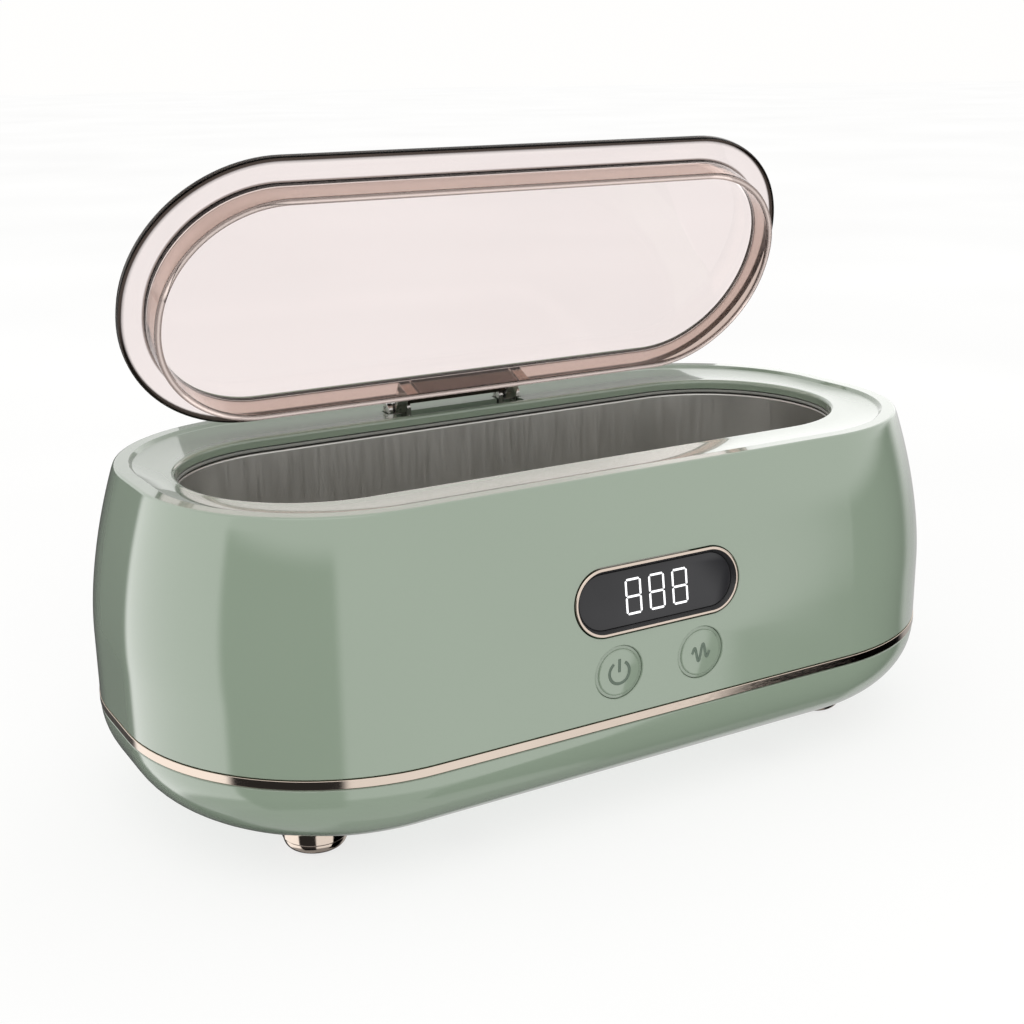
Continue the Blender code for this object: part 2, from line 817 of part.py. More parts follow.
def build_button(name, sx):
    """A cap with a retaining flange, and the switch that it presses."""
    flange_radius = BUTTON_RADIUS + 1.4
    plunger_radius = 1.7
    plunger_length = 1.9
    switch_size = 6
    x = sx * BUTTON_SPACING / 2
    flange_front = -WALL - GAP
    flange_back = flange_front - 1.0
    profile = [
        (0, 0),
        (BUTTON_RADIUS - 0.3, 0),
        (BUTTON_RADIUS, -0.3),
        (BUTTON_RADIUS, flange_front),
        (flange_radius, flange_front),
        (flange_radius, flange_back),
        (0, flange_back),
    ]
    spot = (x, -BODY_HALF_WIDTH, BUTTON_HEIGHT)
    turned(f"{name}_button", profile, spot, "housing_green", facing_front=True, steps=20)
    plunger_front = -BODY_HALF_WIDTH - flange_back + GAP
    cylinder(
        f"{name}_switch_plunger",
        plunger_radius,
        plunger_length,
        (x, plunger_front + plunger_length / 2, BUTTON_HEIGHT),
        axis="Y",
        surface="black_plastic",
        sides=16,
    )
    body_front = plunger_front + 1.3
    body_back = CONTROL_BOARD_FRONT - GAP
    switch = box(
        f"{name}_switch",
        (switch_size, body_back - body_front, switch_size),
        (x, (body_front + body_back) / 2, BUTTON_HEIGHT),
        "steel",
    )
    bottom = plunger_front + plunger_length + BUTTON_TRAVEL + 0.2
    pocket_length = 6
    pocket = cylinder(
        f"{name}_switch_pocket",
        plunger_radius + 0.4,
        pocket_length,
        (x, bottom - pocket_length / 2, BUTTON_HEIGHT),
        axis="Y",
        sides=16,
    )
    cut(switch, [pocket])


# ---- Driver electronics and mains inlet -----------------------------------------------


def driver_screw_spots():
    reach_x = DRIVER_BOARD_SIZE[0] / 2 - DRIVER_SCREW_INSET
    reach_y = DRIVER_BOARD_SIZE[1] / 2 - DRIVER_SCREW_INSET
    return [(DRIVER_BOARD_CENTRE_X - reach_x, -reach_y), (DRIVER_BOARD_CENTRE_X + reach_x, reach_y)]


def build_driver():
    length, width = DRIVER_BOARD_SIZE
    top = DRIVER_BOARD_BOTTOM + BOARD_THICKNESS
    board = box(
        "driver_board",
        (length, width, BOARD_THICKNESS),
        (DRIVER_BOARD_CENTRE_X, 0, top - BOARD_THICKNESS / 2),
        "board_green",
    )
    holes = []
    for number, (x, y) in enumerate(driver_screw_spots(), start=1):
        hole = cylinder(f"driver_board_hole_{number}", BOARD_HOLE_RADIUS, 8, (x, y, top), sides=12)
        holes.append(hole)
        screw = turned(
            f"driver_board_screw_{number}",
            board_screw_profile(5.0),
            (x, y, top + GAP + BOARD_SCREW_HEAD_HEIGHT),
            "steel",
            steps=12,
        )
        screw.rotation_euler.x = math.pi
    cut(board, holes)
    seat = top + GAP
    transformer = (*TRANSFORMER_SPOT, seat + TRANSFORMER_SIZE[2] / 2)
    box("driver_transformer", TRANSFORMER_SIZE, transformer, "ferrite", bevel=1.0)
    edge = 0.4
    capacitor = [
        (0, CAPACITOR_HEIGHT),
        (CAPACITOR_RADIUS - edge, CAPACITOR_HEIGHT),
        (CAPACITOR_RADIUS, CAPACITOR_HEIGHT - edge),
        (CAPACITOR_RADIUS, edge),
        (CAPACITOR_RADIUS - edge, 0),
        (0, 0),
    ]
    turned("driver_capacitor", capacitor, (*CAPACITOR_SPOT, seat), "aluminium")
    build_inductor(seat)
    build_heatsink(seat)


def build_inductor(seat):
    """A wound toroid that lies on the board."""
    shape = bmesh.new()
    around, across = 16, 6
    loops = []
    for i in range(around):
        turn = Matrix.Rotation(2 * math.pi * i / around, 3, "Z")
        section = []
        for j in range(across):
            angle = 2 * math.pi * j / across
            out = INDUCTOR_RADIUS + INDUCTOR_COIL * math.cos(angle)
            point = (out, 0, INDUCTOR_COIL * math.sin(angle))
            section.append(shape.verts.new(turn @ Vector(point) * MM))
        loops.append(section)
    for i in range(around):
        for j in range(across):
            shape.faces.new((loops[i - 1][j - 1], loops[i][j - 1], loops[i][j], loops[i - 1][j]))
    toroid = finish_mesh("driver_inductor", shape, "copper", None)
    toroid.location = Vector((*INDUCTOR_SPOT, seat + INDUCTOR_COIL)) * MM


def build_heatsink(seat):
    x, y = HEATSINK_SPOT
    middle_z = seat + HEATSINK_PLATE[2] / 2
    plate = box("driver_heatsink", HEATSINK_PLATE, (x, y, middle_z), "aluminium")
    fins = []
    for i in range(5):
        spot = (x + HEATSINK_FIN[0] / 2, y + (i - 2) * HEATSINK_FIN_PITCH, middle_z)
        fins.append(box(f"heatsink_fin_{i}", HEATSINK_FIN, spot))
    join(plate, fins)


def build_inlet():
    """A two-pin figure-eight mains inlet that faces the rear."""
    body = box(
        "mains_inlet",
        (INLET_LENGTH, INLET_DEPTH, INLET_HEIGHT),
        (0, INLET_FRONT - INLET_DEPTH / 2, INLET_Z),
        "black_plastic",
    )
    flange_front = BODY_HALF_WIDTH - WALL - 2 * GAP
    flange_middle = flange_front - INLET_FLANGE_SIZE[1] / 2
    flange = box("inlet_flange", INLET_FLANGE_SIZE, (0, flange_middle, INLET_Z))
    socket = loft(
        "inlet_socket",
        [(SOCKET_HALF_LENGTH, SOCKET_RADIUS, SOCKET_RADIUS - 0.01, z) for z in (0, 2 * SOCKET_DEPTH)],
    )
    socket.rotation_euler.x = -math.pi / 2
    socket.location = Vector((0, INLET_FRONT - SOCKET_DEPTH, INLET_Z)) * MM
    pin_holes = []
    for side, sx in SIDES.items():
        x = sx * INLET_PIN_SPACING / 2
        hole = (x, INLET_FRONT - SOCKET_DEPTH, INLET_Z)
        pin_holes.append(
            cylinder(f"inlet_pin_hole_{side}", INLET_PIN_RADIUS + 0.2, 40, hole, axis="Y", sides=12)
        )
        front = INLET_FRONT - INLET_PIN_RECESS
        back = INLET_FRONT - INLET_DEPTH - INLET_PIN_TAIL
        cylinder(
            f"inlet_pin_{side}",
            INLET_PIN_RADIUS,
            front - back,
            (x, (front + back) / 2, INLET_Z),
            axis="Y",
            surface="steel",
            sides=12,
        )
    join(body, [flange])
    cut(body, [socket, *pin_holes])


def build_wiring():
    """Each wire runs through the points of its route, clear of what it passes."""
    board_top = DRIVER_BOARD_BOTTOM + BOARD_THICKNESS + 1.2
    piezo_bottom = 21.0
    for name, y, surface in (("red", 4, "red_wire"), ("black", -4, "black_wire")):
        route = [(8, y, piezo_bottom), (11, y, 18.5), (18, y * 1.5, 16), (25, y * 2, 15), (29, y * 2, board_top)]
        wire(f"piezo_lead_{name}", route, PIEZO_WIRE_RADIUS, surface)
    tab_end = INLET_FRONT - INLET_DEPTH - INLET_PIN_TAIL - GAP
    for side, name, end_x, surface in ((1, "live", 62, "brown_wire"), (-1, "neutral", 58, "blue_wire")):
        x = side * INLET_PIN_SPACING / 2
        drop = 1.7 * side
        route = [
            (x, tab_end, INLET_Z),
            (x, tab_end - 3, INLET_Z - 1),
            (x + 1, tab_end - 4.4, INLET_Z - 6),
            (x + 4, tab_end - 4.4 + drop, 24),
            (x + 12, 31.5 + drop, 17),
            (34, 29 + drop, 14.5),
            (48, 24.5 + drop, 15),
            (end_x, 17, board_top),
        ]
        wire(f"mains_lead_{name}", route, MAINS_WIRE_RADIUS, surface)
    harness = [
        (-14, CONTROL_BOARD_FRONT + BOARD_THICKNESS + 1.8, 33),
        (-13, -39.5, 26),
        (-6, -37, 19),
        (8, -30, 15),
        (20, -20, 14.5),
        (29, -10, board_top + 0.4),
    ]
    wire("display_harness", harness, HARNESS_RADIUS, "black_wire")


# ---- Hinge and lid --------------------------------------------------------------------


def build_hinge_bracket():
    plate_top = DECK_UNDERSIDE - GAP
    plate_bottom = plate_top - BRACKET_THICKNESS
    bracket = box(
        "hinge_bracket",
        (BRACKET_LENGTH, BRACKET_WIDTH, BRACKET_THICKNESS),
        (0, BRACKET_Y, (plate_top + plate_bottom) / 2),
        "steel",
    )
    lugs = []
    slots = []
    for side, sx in SIDES.items():
        x = sx * KNUCKLE_X
        stem_bottom = plate_bottom + 0.4
        stem_height = HINGE_Z - stem_bottom
        stem = (x, HINGE_Y, stem_bottom + stem_height / 2)
        stem_size = (LUG_WIDTH - 0.1, 2 * LUG_RADIUS - 0.1, stem_height)
        lugs.append(box(f"lug_stem_{side}", stem_size, stem))
        lugs.append(
            cylinder(f"lug_top_{side}", LUG_RADIUS, LUG_WIDTH, (x, HINGE_Y, HINGE_Z), axis="X", sides=16)
        )
        slot_bottom = plate_top + GAP
        slots.append(box(f"lug_slot_{side}", (LUG_SLOT, 8, 12), (x, HINGE_Y, slot_bottom + 6)))
    bore = cylinder("hinge_bore", HINGE_BORE_RADIUS, 60, (0, HINGE_Y, HINGE_Z), axis="X", sides=12)
    join(bracket, lugs)
    cut(bracket, [*slots, bore])
    for side, sx in SIDES.items():
        cylinder(
            f"hinge_pin_{side}",
            HINGE_PIN_RADIUS,
            LUG_WIDTH - 0.2,
            (sx * KNUCKLE_X, HINGE_Y, HINGE_Z),
            axis="X",
            surface="steel",
            sides=12,
        )


LID_HINGE = empty("lid_hinge_axis", (0, HINGE_Y, HINGE_Z), tilt=-LID_OPEN_ANGLE)


def on_lid(x, y, z):
    """A point of the shut part, as an offset from the hinge axis."""
    return (x, y - HINGE_Y, z - HINGE_Z)


def build_lid():
    """Flange, inner skirt and crowned panel, modelled shut and centred over the opening."""

    def skirt(inset, z):
        return (SKIRT_HALF_LENGTH - inset, SKIRT_HALF_WIDTH - inset, SKIRT_CORNER - inset, z)

    def flange(inset, z):
        return (LID_HALF_LENGTH - inset, LID_HALF_WIDTH - inset, LID_CORNER - inset, z)

    rings = [
        skirt(SKIRT_WALL + 0.3, 0),
        skirt(SKIRT_WALL, -0.3),
        skirt(SKIRT_WALL - 0.1, -SKIRT_DEPTH),
        skirt(0.1, -SKIRT_DEPTH),
        skirt(0, 0),
        flange(0.5, 0),
        flange(0, 0.5),
        flange(0, LID_THICKNESS - 0.7),
        flange(0.7, LID_THICKNESS),
        flange(12, LID_THICKNESS + LID_CROWN * 0.75),
        flange(24, LID_THICKNESS + LID_CROWN),
    ]
    lid = loft("lid", rings, "clear_lid", LID_HINGE)
    lid.location = Vector(on_lid(0, 0, LID_SEAT)) * MM


def build_lid_hinge():
    bar_top = LID_SEAT - GAP
    bar_middle = (HINGE_BAR_FRONT + HINGE_BAR_BACK) / 2
    box(
        "lid_hinge_bar",
        (HINGE_BAR_LENGTH, HINGE_BAR_BACK - HINGE_BAR_FRONT, HINGE_BAR_THICKNESS),
        on_lid(0, bar_middle, bar_top - HINGE_BAR_THICKNESS / 2),
        "dark_hinge",
        LID_HINGE,
        bevel=0.15,
    )
    arm_length = HINGE_Y - HINGE_BAR_FRONT
    arm_height = bar_top - HINGE_ARM_THICKNESS / 2
    for side, sx in SIDES.items():
        x = sx * KNUCKLE_X
        arm_middle = on_lid(x, (HINGE_Y + HINGE_BAR_FRONT) / 2, arm_height)
        knuckle = box(
            f"lid_knuckle_{side}",
            (KNUCKLE_WIDTH - 0.1, arm_length, HINGE_ARM_THICKNESS),
            arm_middle,
            "steel",
            LID_HINGE,
        )
        barrel = cylinder(
            f"barrel_{side}",
            KNUCKLE_RADIUS,
            KNUCKLE_WIDTH,
            (x, 0, 0),
            axis="X",
            parent=LID_HINGE,
            sides=16,
        )
        bore = cylinder(
            f"knuckle_bore_{side}",
            HINGE_BORE_RADIUS,
            10,
            (x, 0, 0),
            axis="X",
            parent=LID_HINGE,
            sides=12,
        )
        join(knuckle, [barrel])
        cut(knuckle, [bore])


# ---- Assembly -------------------------------------------------------------------------

build_base_shell()
build_trim_ring()
build_upper_housing()
build_feet()
build_housing_screws()
build_tank()
build_tank_gasket()
build_transducer()
build_display()
build_control_board()
build_button("power", SIDES["left"])
build_button("mode", SIDES["right"])
build_driver()
build_inlet()
build_wiring()
build_hinge_bracket()
build_lid()
build_lid_hinge()
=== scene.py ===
"""Looks of the tabletop ultrasonic cleaner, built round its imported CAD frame.

Sizes are in millimetres in the CAD's frame, and MM turns them into Blender's metres: the long side
lies along X, the front faces -Y, and the object stands on Z = 0. Every mesh holds its place in its
own points, so each object stays at the origin.
"""

import json
import math

import bmesh
import bpy
from mathutils import Matrix, Vector


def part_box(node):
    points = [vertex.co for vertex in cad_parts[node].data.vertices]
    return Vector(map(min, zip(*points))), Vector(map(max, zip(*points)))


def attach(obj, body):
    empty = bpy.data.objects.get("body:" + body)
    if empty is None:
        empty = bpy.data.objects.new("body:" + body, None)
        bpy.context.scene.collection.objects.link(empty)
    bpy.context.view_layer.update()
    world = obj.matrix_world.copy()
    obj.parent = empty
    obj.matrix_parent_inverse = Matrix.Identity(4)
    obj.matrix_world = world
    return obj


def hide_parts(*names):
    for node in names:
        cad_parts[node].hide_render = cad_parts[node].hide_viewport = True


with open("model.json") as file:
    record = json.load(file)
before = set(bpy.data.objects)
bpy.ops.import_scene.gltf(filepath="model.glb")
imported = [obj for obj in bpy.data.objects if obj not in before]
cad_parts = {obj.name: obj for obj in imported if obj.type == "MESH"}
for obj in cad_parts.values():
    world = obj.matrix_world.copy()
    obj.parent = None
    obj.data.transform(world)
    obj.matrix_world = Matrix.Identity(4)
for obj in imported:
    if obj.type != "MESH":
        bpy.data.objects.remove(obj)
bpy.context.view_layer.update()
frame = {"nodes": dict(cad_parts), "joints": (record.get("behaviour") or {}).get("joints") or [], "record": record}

MM = 0.001


def box_mm(node):
    low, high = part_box(node)
    return low / MM, high / MM


# ---- Sizes read from the frame -----------------------------------------------------------

HOUSING_LOW, HOUSING_HIGH = box_mm("upper_housing")
BASE_LOW = box_mm("base_shell")[0]
TRIM_LOW, TRIM_HIGH = box_mm("trim_ring")
TANK_LOW, TANK_HIGH = box_mm("tank")
GASKET_LOW, GASKET_HIGH = box_mm("tank_gasket")
BEZEL_LOW, BEZEL_HIGH = box_mm("display_bezel")
INLET_LOW, INLET_HIGH = box_mm("mains_inlet")
LID_JOINT = next(joint for joint in frame["joints"] if joint["name"] == "lid_hinge")
HINGE_AXIS = Vector(LID_JOINT["pos_m"]) / MM
LID_OPEN = math.radians(-LID_JOINT["range_deg"][0])

GAP = 0.3
WALL = 2.2
CORNER_STEPS = 28  # facets in a quarter turn of a plan outline
STRAIGHT_STEPS = 10

BODY_HALF_LENGTH = HOUSING_HIGH.x
BODY_HALF_WIDTH = HOUSING_HIGH.y
BODY_CORNER = 47.0
HOUSING_BOTTOM = HOUSING_LOW.z
RIM_TOP = HOUSING_HIGH.z
WIDEST = 40.0
RIM_INSET = 6.9
WALL_CURVE = 1.75

BASE_BOTTOM = BASE_LOW.z
BASE_TOP = TRIM_LOW.z - GAP
BASE_FLOOR = 9.2
BASE_UNDERCUT = 18.2
BASE_ROUNDNESS = 0.6
BASE_CURVE_RISE = BASE_TOP - 0.25 - BASE_BOTTOM

GASKET_OUTSET = 2.0
OPENING_HALF_LENGTH = GASKET_HIGH.x - GASKET_OUTSET
OPENING_HALF_WIDTH = GASKET_HIGH.y - GASKET_OUTSET
OPENING_CORNER = 28.4
DISH_EDGE = 74.1
DISH_EDGE_RADIUS = 0.9
CREASE_INSET = 10.9
CREASE_HEIGHT = 75.0
DECK_UNDERSIDE = GASKET_HIGH.z + GAP

TANK_CLEARANCE = 0.2
TANK_SHEET = 0.8
TANK_FLOOR_RADIUS = 6.0

DISPLAY_HEIGHT = (BEZEL_LOW.z + BEZEL_HIGH.z) / 2
DISPLAY_TILT = math.radians(7.7)
BEZEL_LENGTH = BEZEL_HIGH.x - BEZEL_LOW.x
BEZEL_HEIGHT = 14.2
BEZEL_WIDTH = 1.2
BEZEL_PROUD = 0.2

BUTTON_RADIUS = 5.2
BUTTON_HOLE = 5.8

LID_SEAT = 74.45
LID_HALF_LENGTH = 86.6
LID_HALF_WIDTH = 33.55
LID_CORNER = 33.0
LID_THICKNESS = 2.2
LID_CROWN = 0.7
SKIRT_HALF_LENGTH = 81.0
SKIRT_HALF_WIDTH = 27.9
SKIRT_CORNER = 27.4
SKIRT_DEPTH = 7.1
SKIRT_WALL = 1.7

KNUCKLE_X = 15.5
KNUCKLE_WIDTH = 3.1
KNUCKLE_RADIUS = 1.5
HINGE_BORE = 0.7
HINGE_LEAF_FRONT = 30.2
HINGE_LEAF_TOP = 74.25

SIDES = {"left": -1, "right": 1}
ENDS = {"front": -1, "rear": 1}
CASE_SCREW_X = 40
CASE_SCREW_Y = 39.5
CASE_SCREWS = {
    f"{end}_{side}": (sx * CASE_SCREW_X, sy * CASE_SCREW_Y)
    for end, sy in ENDS.items()
    for side, sx in SIDES.items()
}
BOARD_SCREW_BORE = 1.1
INLET_HALF = 11.0
FOOT_POCKET_RADIUS = 7.3


# ---- Material helpers --------------------------------------------------------------------


class Graph:
    """A node tree, with short ways to add its usual nodes. Inputs take values or other outputs."""

    def __init__(self, tree):
        self.tree = tree

    def connect(self, value, target):
        if isinstance(value, bpy.types.NodeSocket):
            self.tree.links.new(value, target)
        else:
            target.default_value = value

    def node(self, kind, inputs=None, **settings):
        made = self.tree.nodes.new(f"ShaderNode{kind}")
        for key, value in settings.items():
            setattr(made, key, value)
        for socket, value in (inputs or {}).items():
            self.connect(value, made.inputs[socket])
        return made

    def maths(self, operation, *values):
        made = self.node("Math", operation=operation)
        for value, target in zip(values, made.inputs):
            self.connect(value, target)
        return made.outputs[0]

    def spread(self, source, low, high, from_low=0.3, from_high=0.7, **settings):
        """Maps from_low..from_high to low..high."""
        span = {"From Min": from_low, "From Max": from_high, "To Min": low, "To Max": high}
        return self.node("MapRange", {"Value": source, **span}, **settings).outputs["Result"]


class Shader(Graph):
    """A node material: a Principled shader and the nodes that feed it."""

    def __init__(self, name, roughness, metallic=0.0):
        self.material = bpy.data.materials.new(name)
        self.material.use_nodes = True
        super().__init__(self.material.node_tree)
        self.shader = self.tree.nodes["Principled BSDF"]
        self.feed("Roughness", roughness)
        self.feed("Metallic", metallic)
        self.place = self.node("TexCoord").outputs["Object"]
        self.last_bump = None

    def feed(self, socket, value):
        self.connect(value, self.shader.inputs[socket])

    def noise(self, scale, detail=3.0, stretch=(1, 1, 1)):
        """Noise from 0 to 1, at scale features to a metre."""
        place = self.node("Mapping", {"Scale": stretch, "Vector": self.place}).outputs["Vector"]
        inputs = {"Scale": scale, "Detail": detail, "Roughness": 0.55, "Vector": place}
        return self.node("TexNoise", inputs).outputs["Fac"]

    def clouds(self, scale, detail, from_low=0.3, from_high=0.7):
        """Noise with its middle stretched out to 0..1."""
        return self.spread(self.noise(scale, detail), 0, 1, from_low, from_high)

    def mix(self, factor, first, second, blend="MIX"):
        """A colour between two, each a colour or another node's output."""
        mixer = self.node("Mix", data_type="RGBA", blend_type=blend)
        for socket, value in (("Factor", factor), ("A", first), ("B", second)):
            kind = "VALUE" if socket == "Factor" else "RGBA"
            target = next(s for s in mixer.inputs if s.name == socket and s.type == kind)
            self.connect((*value, 1.0) if isinstance(value, tuple) else value, target)
        return next(s for s in mixer.outputs if s.type == "RGBA")

    def tone(self, factor, colour, low, high):
        """One colour between two of its shades."""
        return self.mix(factor, shade(colour, low), shade(colour, high))

    def bump(self, height, distance):
        made = self.node("Bump", {"Strength": 1.0, "Distance": distance * MM, "Height": height})
        if self.last_bump:
            self.connect(self.last_bump, made.inputs["Normal"])
        self.last_bump = made.outputs["Normal"]
        self.feed("Normal", self.last_bump)


def shade(colour, factor):
    return tuple(channel * factor for channel in colour)


def gloss_moulding(name, colour, roughness=0.12):
    """Polished injection moulding: slow colour drift, fine orange peel and faint wiping haze."""
    made = Shader(name, roughness)
    drift = made.clouds(14, 2)
    speckle = made.clouds(1400, 2, 0.2, 0.8)
    base = made.tone(drift, colour, 0.975, 1.02)
    made.feed("Base Color", made.mix(made.maths("MULTIPLY", speckle, 0.25), base, shade(colour, 0.97)))
    haze = made.noise(45, 4, (1, 1, 0.35))
    made.feed("Roughness", made.spread(haze, roughness * 0.75, roughness * 1.35))
    made.bump(made.noise(160, 1.5), 0.003)
    made.feed("IOR", 1.5)
    made.feed("Coat Weight", 1.0)
    made.feed("Coat IOR", 1.55)
    made.feed("Coat Roughness", 0.03)
    return made.material


def plated_metal(name, colour, roughness=0.08):
    """Bright plating over a moulding: soft waviness and hairline wear."""
    made = Shader(name, roughness, metallic=1.0)
    drift = made.clouds(30, 2)
    made.feed("Base Color", made.tone(drift, colour, 0.96, 1.03))
    hairlines = made.noise(700, 3, (1, 1, 6))
    made.feed("Roughness", made.spread(hairlines, roughness * 0.7, roughness * 1.6))
    made.bump(made.noise(160, 1), 0.003)
    return made.material


def drawn_steel(name, colour, roughness, stretch, depth=0.004):
    """Drawn or brushed sheet: long fine lines in the roughness and the relief."""
    made = Shader(name, roughness, metallic=1.0)
    lines = made.noise(900, 4, stretch)
    clouds = made.clouds(25, 3)
    made.feed("Base Color", made.tone(clouds, colour, 0.93, 1.05))
    made.feed("Roughness", made.spread(lines, roughness * 0.85, roughness * 1.15))
    made.bump(lines, depth)
    return made.material


def matte_moulding(name, colour, roughness=0.5, grain=900, depth=0.01):
    """Textured moulding or rubber: fine spark-eroded grain and dull patches."""
    made = Shader(name, roughness)
    texture = made.noise(grain, 3)
    patches = made.clouds(40, 3)
    base = made.tone(patches, colour, 0.88, 1.12)
    made.feed("Base Color", made.mix(made.spread(texture, 0, 0.3), base, shade(colour, 0.75)))
    made.feed("Roughness", made.spread(texture, roughness * 0.85, min(1.0, roughness * 1.2)))
    made.bump(texture, depth)
    return made.material


def circuit_board(name, colour):
    """Solder mask with copper traces under it, and rows of tinned pads."""
    made = Shader(name, 0.35)
    inputs = {"Scale": 210, "Vector": made.place}
    traces = made.node("TexVoronoi", inputs, feature="DISTANCE_TO_EDGE", distance="MANHATTAN")
    line = made.spread(traces.outputs["Distance"], 1, 0, 0.03, 0.07)
    inputs = {"Scale": 330, "Randomness": 0.0, "Vector": made.place}
    pads = made.node("TexVoronoi", inputs, feature="F1")
    pad = made.spread(pads.outputs["Distance"], 1, 0, 0.16, 0.2)
    rows = made.clouds(60, 1, 0.58, 0.6)
    pad = made.maths("MULTIPLY", pad, rows)
    mask = made.mix(made.maths("MULTIPLY", line, 0.6), colour, shade(colour, 1.9))
    made.feed("Base Color", made.mix(pad, mask, (0.62, 0.6, 0.55)))
    made.feed("Metallic", pad)
    made.feed("Roughness", made.spread(made.noise(200, 2), 0.28, 0.42))
    made.bump(line, 0.02)
    return made.material


def fired_ceramic(name, colour):
    """Sintered ceramic disc: fine speckle over a silvered, slightly cloudy face."""
    made = Shader(name, 0.5)
    speckle = made.clouds(2200, 2)
    clouds = made.clouds(70, 4)
    base = made.tone(clouds, colour, 0.9, 1.1)
    made.feed("Base Color", made.mix(made.maths("MULTIPLY", speckle, 0.35), base, shade(colour, 0.7)))
    made.feed("Roughness", made.spread(speckle, 0.42, 0.62))
    made.bump(speckle, 0.01)
    return made.material


def winding(name, colour):
    """Enamelled wire wound round a core: close ridges in the relief, with painted shade in the gaps between turns
    and painted highlights along the ridges.
    """
    made = Shader(name, 0.28, metallic=0.9)
    inputs = {"Scale": 420, "Distortion": 1.2, "Vector": made.place}
    wave = made.node("TexWave", inputs, wave_type="BANDS", bands_direction="DIAGONAL")
    turns = wave.outputs["Fac"]
    # Painted shade in the gaps between turns, and a lighter painted highlight on the ridges.
    made.feed("Base Color", made.tone(turns, colour, 0.25, 1.1))
    made.feed("Roughness", made.spread(made.noise(300, 2), 0.2, 0.4))
    made.bump(turns, 0.12)
    return made.material


def lens_gloss(name, colour):
    """Smoked window: near black, very smooth, with faint dust in its roughness."""
    made = Shader(name, 0.06)
    dust = made.noise(1800, 3)
    depth = made.clouds(40, 2)
    made.feed("Base Color", made.tone(depth, colour, 0.8, 1.2))
    made.feed("Roughness", made.spread(dust, 0.04, 0.09, 0.5, 0.8))
    made.bump(made.noise(90, 1), 0.002)
    made.feed("IOR", 1.55)
    made.feed("Specular IOR Level", 0.3)
    return made.material


def lit_segment(name, colour):
    """White light pipe with a slightly uneven glow."""
    made = Shader(name, 0.35)
    glow = made.spread(made.noise(500, 2), 0.82, 1.0)
    tint = made.mix(glow, shade(colour, 0.85), colour)
    made.feed("Base Color", tint)
    made.feed("Emission Color", tint)
    made.feed("Emission Strength", 0.75)
    return made.material


def clear_plastic(name):
    """Tinted clear moulding. Its tint is laid down ring by ring from a colour attribute that also holds painted
    shade: darker on the skirt, dark on the skirt's rounded edges and near black on the flange's rounded edge, and
    the same colour tints their reflections.
    """
    made = Shader(name, 0.015)
    tint = made.node("Attribute", attribute_name=TINT_AND_SHADE).outputs["Color"]
    made.feed("Specular Tint", tint)
    drift = made.clouds(20, 2)
    made.feed("Base Color", made.mix(drift, made.mix(1.0, tint, (0.992, 0.99, 0.988), "MULTIPLY"), tint))
    made.feed("Transmission Weight", 1.0)
    made.feed("IOR", 1.46)
    made.feed("Roughness", made.spread(made.noise(900, 3), 0.0, 0.03, 0.55, 0.8))
    made.bump(made.noise(25, 1), 0.004)
    return made.material


def wire_sleeve(name, colour):
    """Extruded insulation: faint lengthwise drag lines and dull scuffs."""
    made = Shader(name, 0.4)
    drag = made.noise(1100, 3, (0.3, 1, 1))
    scuffs = made.clouds(120, 4)
    made.feed("Base Color", made.tone(scuffs, colour, 0.8, 1.15))
    made.feed("Roughness", made.spread(drag, 0.3, 0.5))
    made.bump(drag, 0.01)
    return made.material


SAGE = (0.278, 0.347, 0.267)
SAGE_MARK = (0.12, 0.165, 0.125)
TINT_AND_SHADE = "tint"
# PANEL_TINT is the lid's own rose tint. The three after it are painted shade laid on its rings: the skirt darker,
# the skirt's rounded tip and root edges dark, and the flange's rounded edge near black.
PANEL_TINT = (0.945, 0.86, 0.85)
SKIRT_TINT_AND_SHADE = (0.60, 0.475, 0.42)
SKIRT_EDGE_PAINTED_SHADE = (0.10, 0.07, 0.06)
FLANGE_EDGE_PAINTED_SHADE = (0.006, 0.004, 0.003)
LOOKS = {
    "housing_green": gloss_moulding("sage_moulding", SAGE),
    "rose_gold": plated_metal("rose_gold_plating", (0.63, 0.535, 0.46)),
    "stainless": drawn_steel("drawn_stainless", (0.56, 0.555, 0.53), 0.4, (1.0, 1.0, 0.08), 0.0015),
    "clear_lid": clear_plastic("rose_clear_plastic"),
    "smoked_lens": lens_gloss("smoked_window", (0.03, 0.03, 0.033)),
    "black_plastic": matte_moulding("black_moulding", (0.022, 0.022, 0.024), 0.45),
    "dark_hinge": drawn_steel("dark_bronze", (0.16, 0.13, 0.11), 0.35, (0.1, 1, 1)),
    "steel": drawn_steel("plain_steel", (0.62, 0.6, 0.58), 0.25, (1, 0.2, 1)),
    "rubber": matte_moulding("foot_rubber", (0.035, 0.035, 0.037), 0.75, 1300, 0.02),
    "silicone": matte_moulding("tank_silicone", (0.30, 0.31, 0.285), 0.55, 700, 0.008),
    "board_green": circuit_board("board_laminate", (0.015, 0.13, 0.05)),
    "ceramic": fired_ceramic("piezo_ceramic", (0.66, 0.62, 0.52)),
    "copper": winding("copper_winding", (0.72, 0.36, 0.18)),
    "ferrite": matte_moulding("ferrite_core", (0.05, 0.05, 0.055), 0.6, 500, 0.03),
    "aluminium": drawn_steel("extruded_aluminium", (0.72, 0.73, 0.74), 0.35, (1, 1, 0.15)),
    "display_white": lit_segment("display_white", (0.95, 0.96, 0.98)),
    "red_wire": wire_sleeve("red_sleeve", (0.5, 0.03, 0.02)),
    "black_wire": wire_sleeve("black_sleeve", (0.02, 0.02, 0.02)),
    "blue_wire": wire_sleeve("blue_sleeve", (0.03, 0.09, 0.42)),
    "brown_wire": wire_sleeve("brown_sleeve", (0.17, 0.07, 0.03)),
}
MARK_LOOK = matte_moulding("sage_mark", SAGE_MARK, 0.35)


# ---- Mesh helpers ------------------------------------------------------------------------

SHARP_ANGLE = math.radians(32)


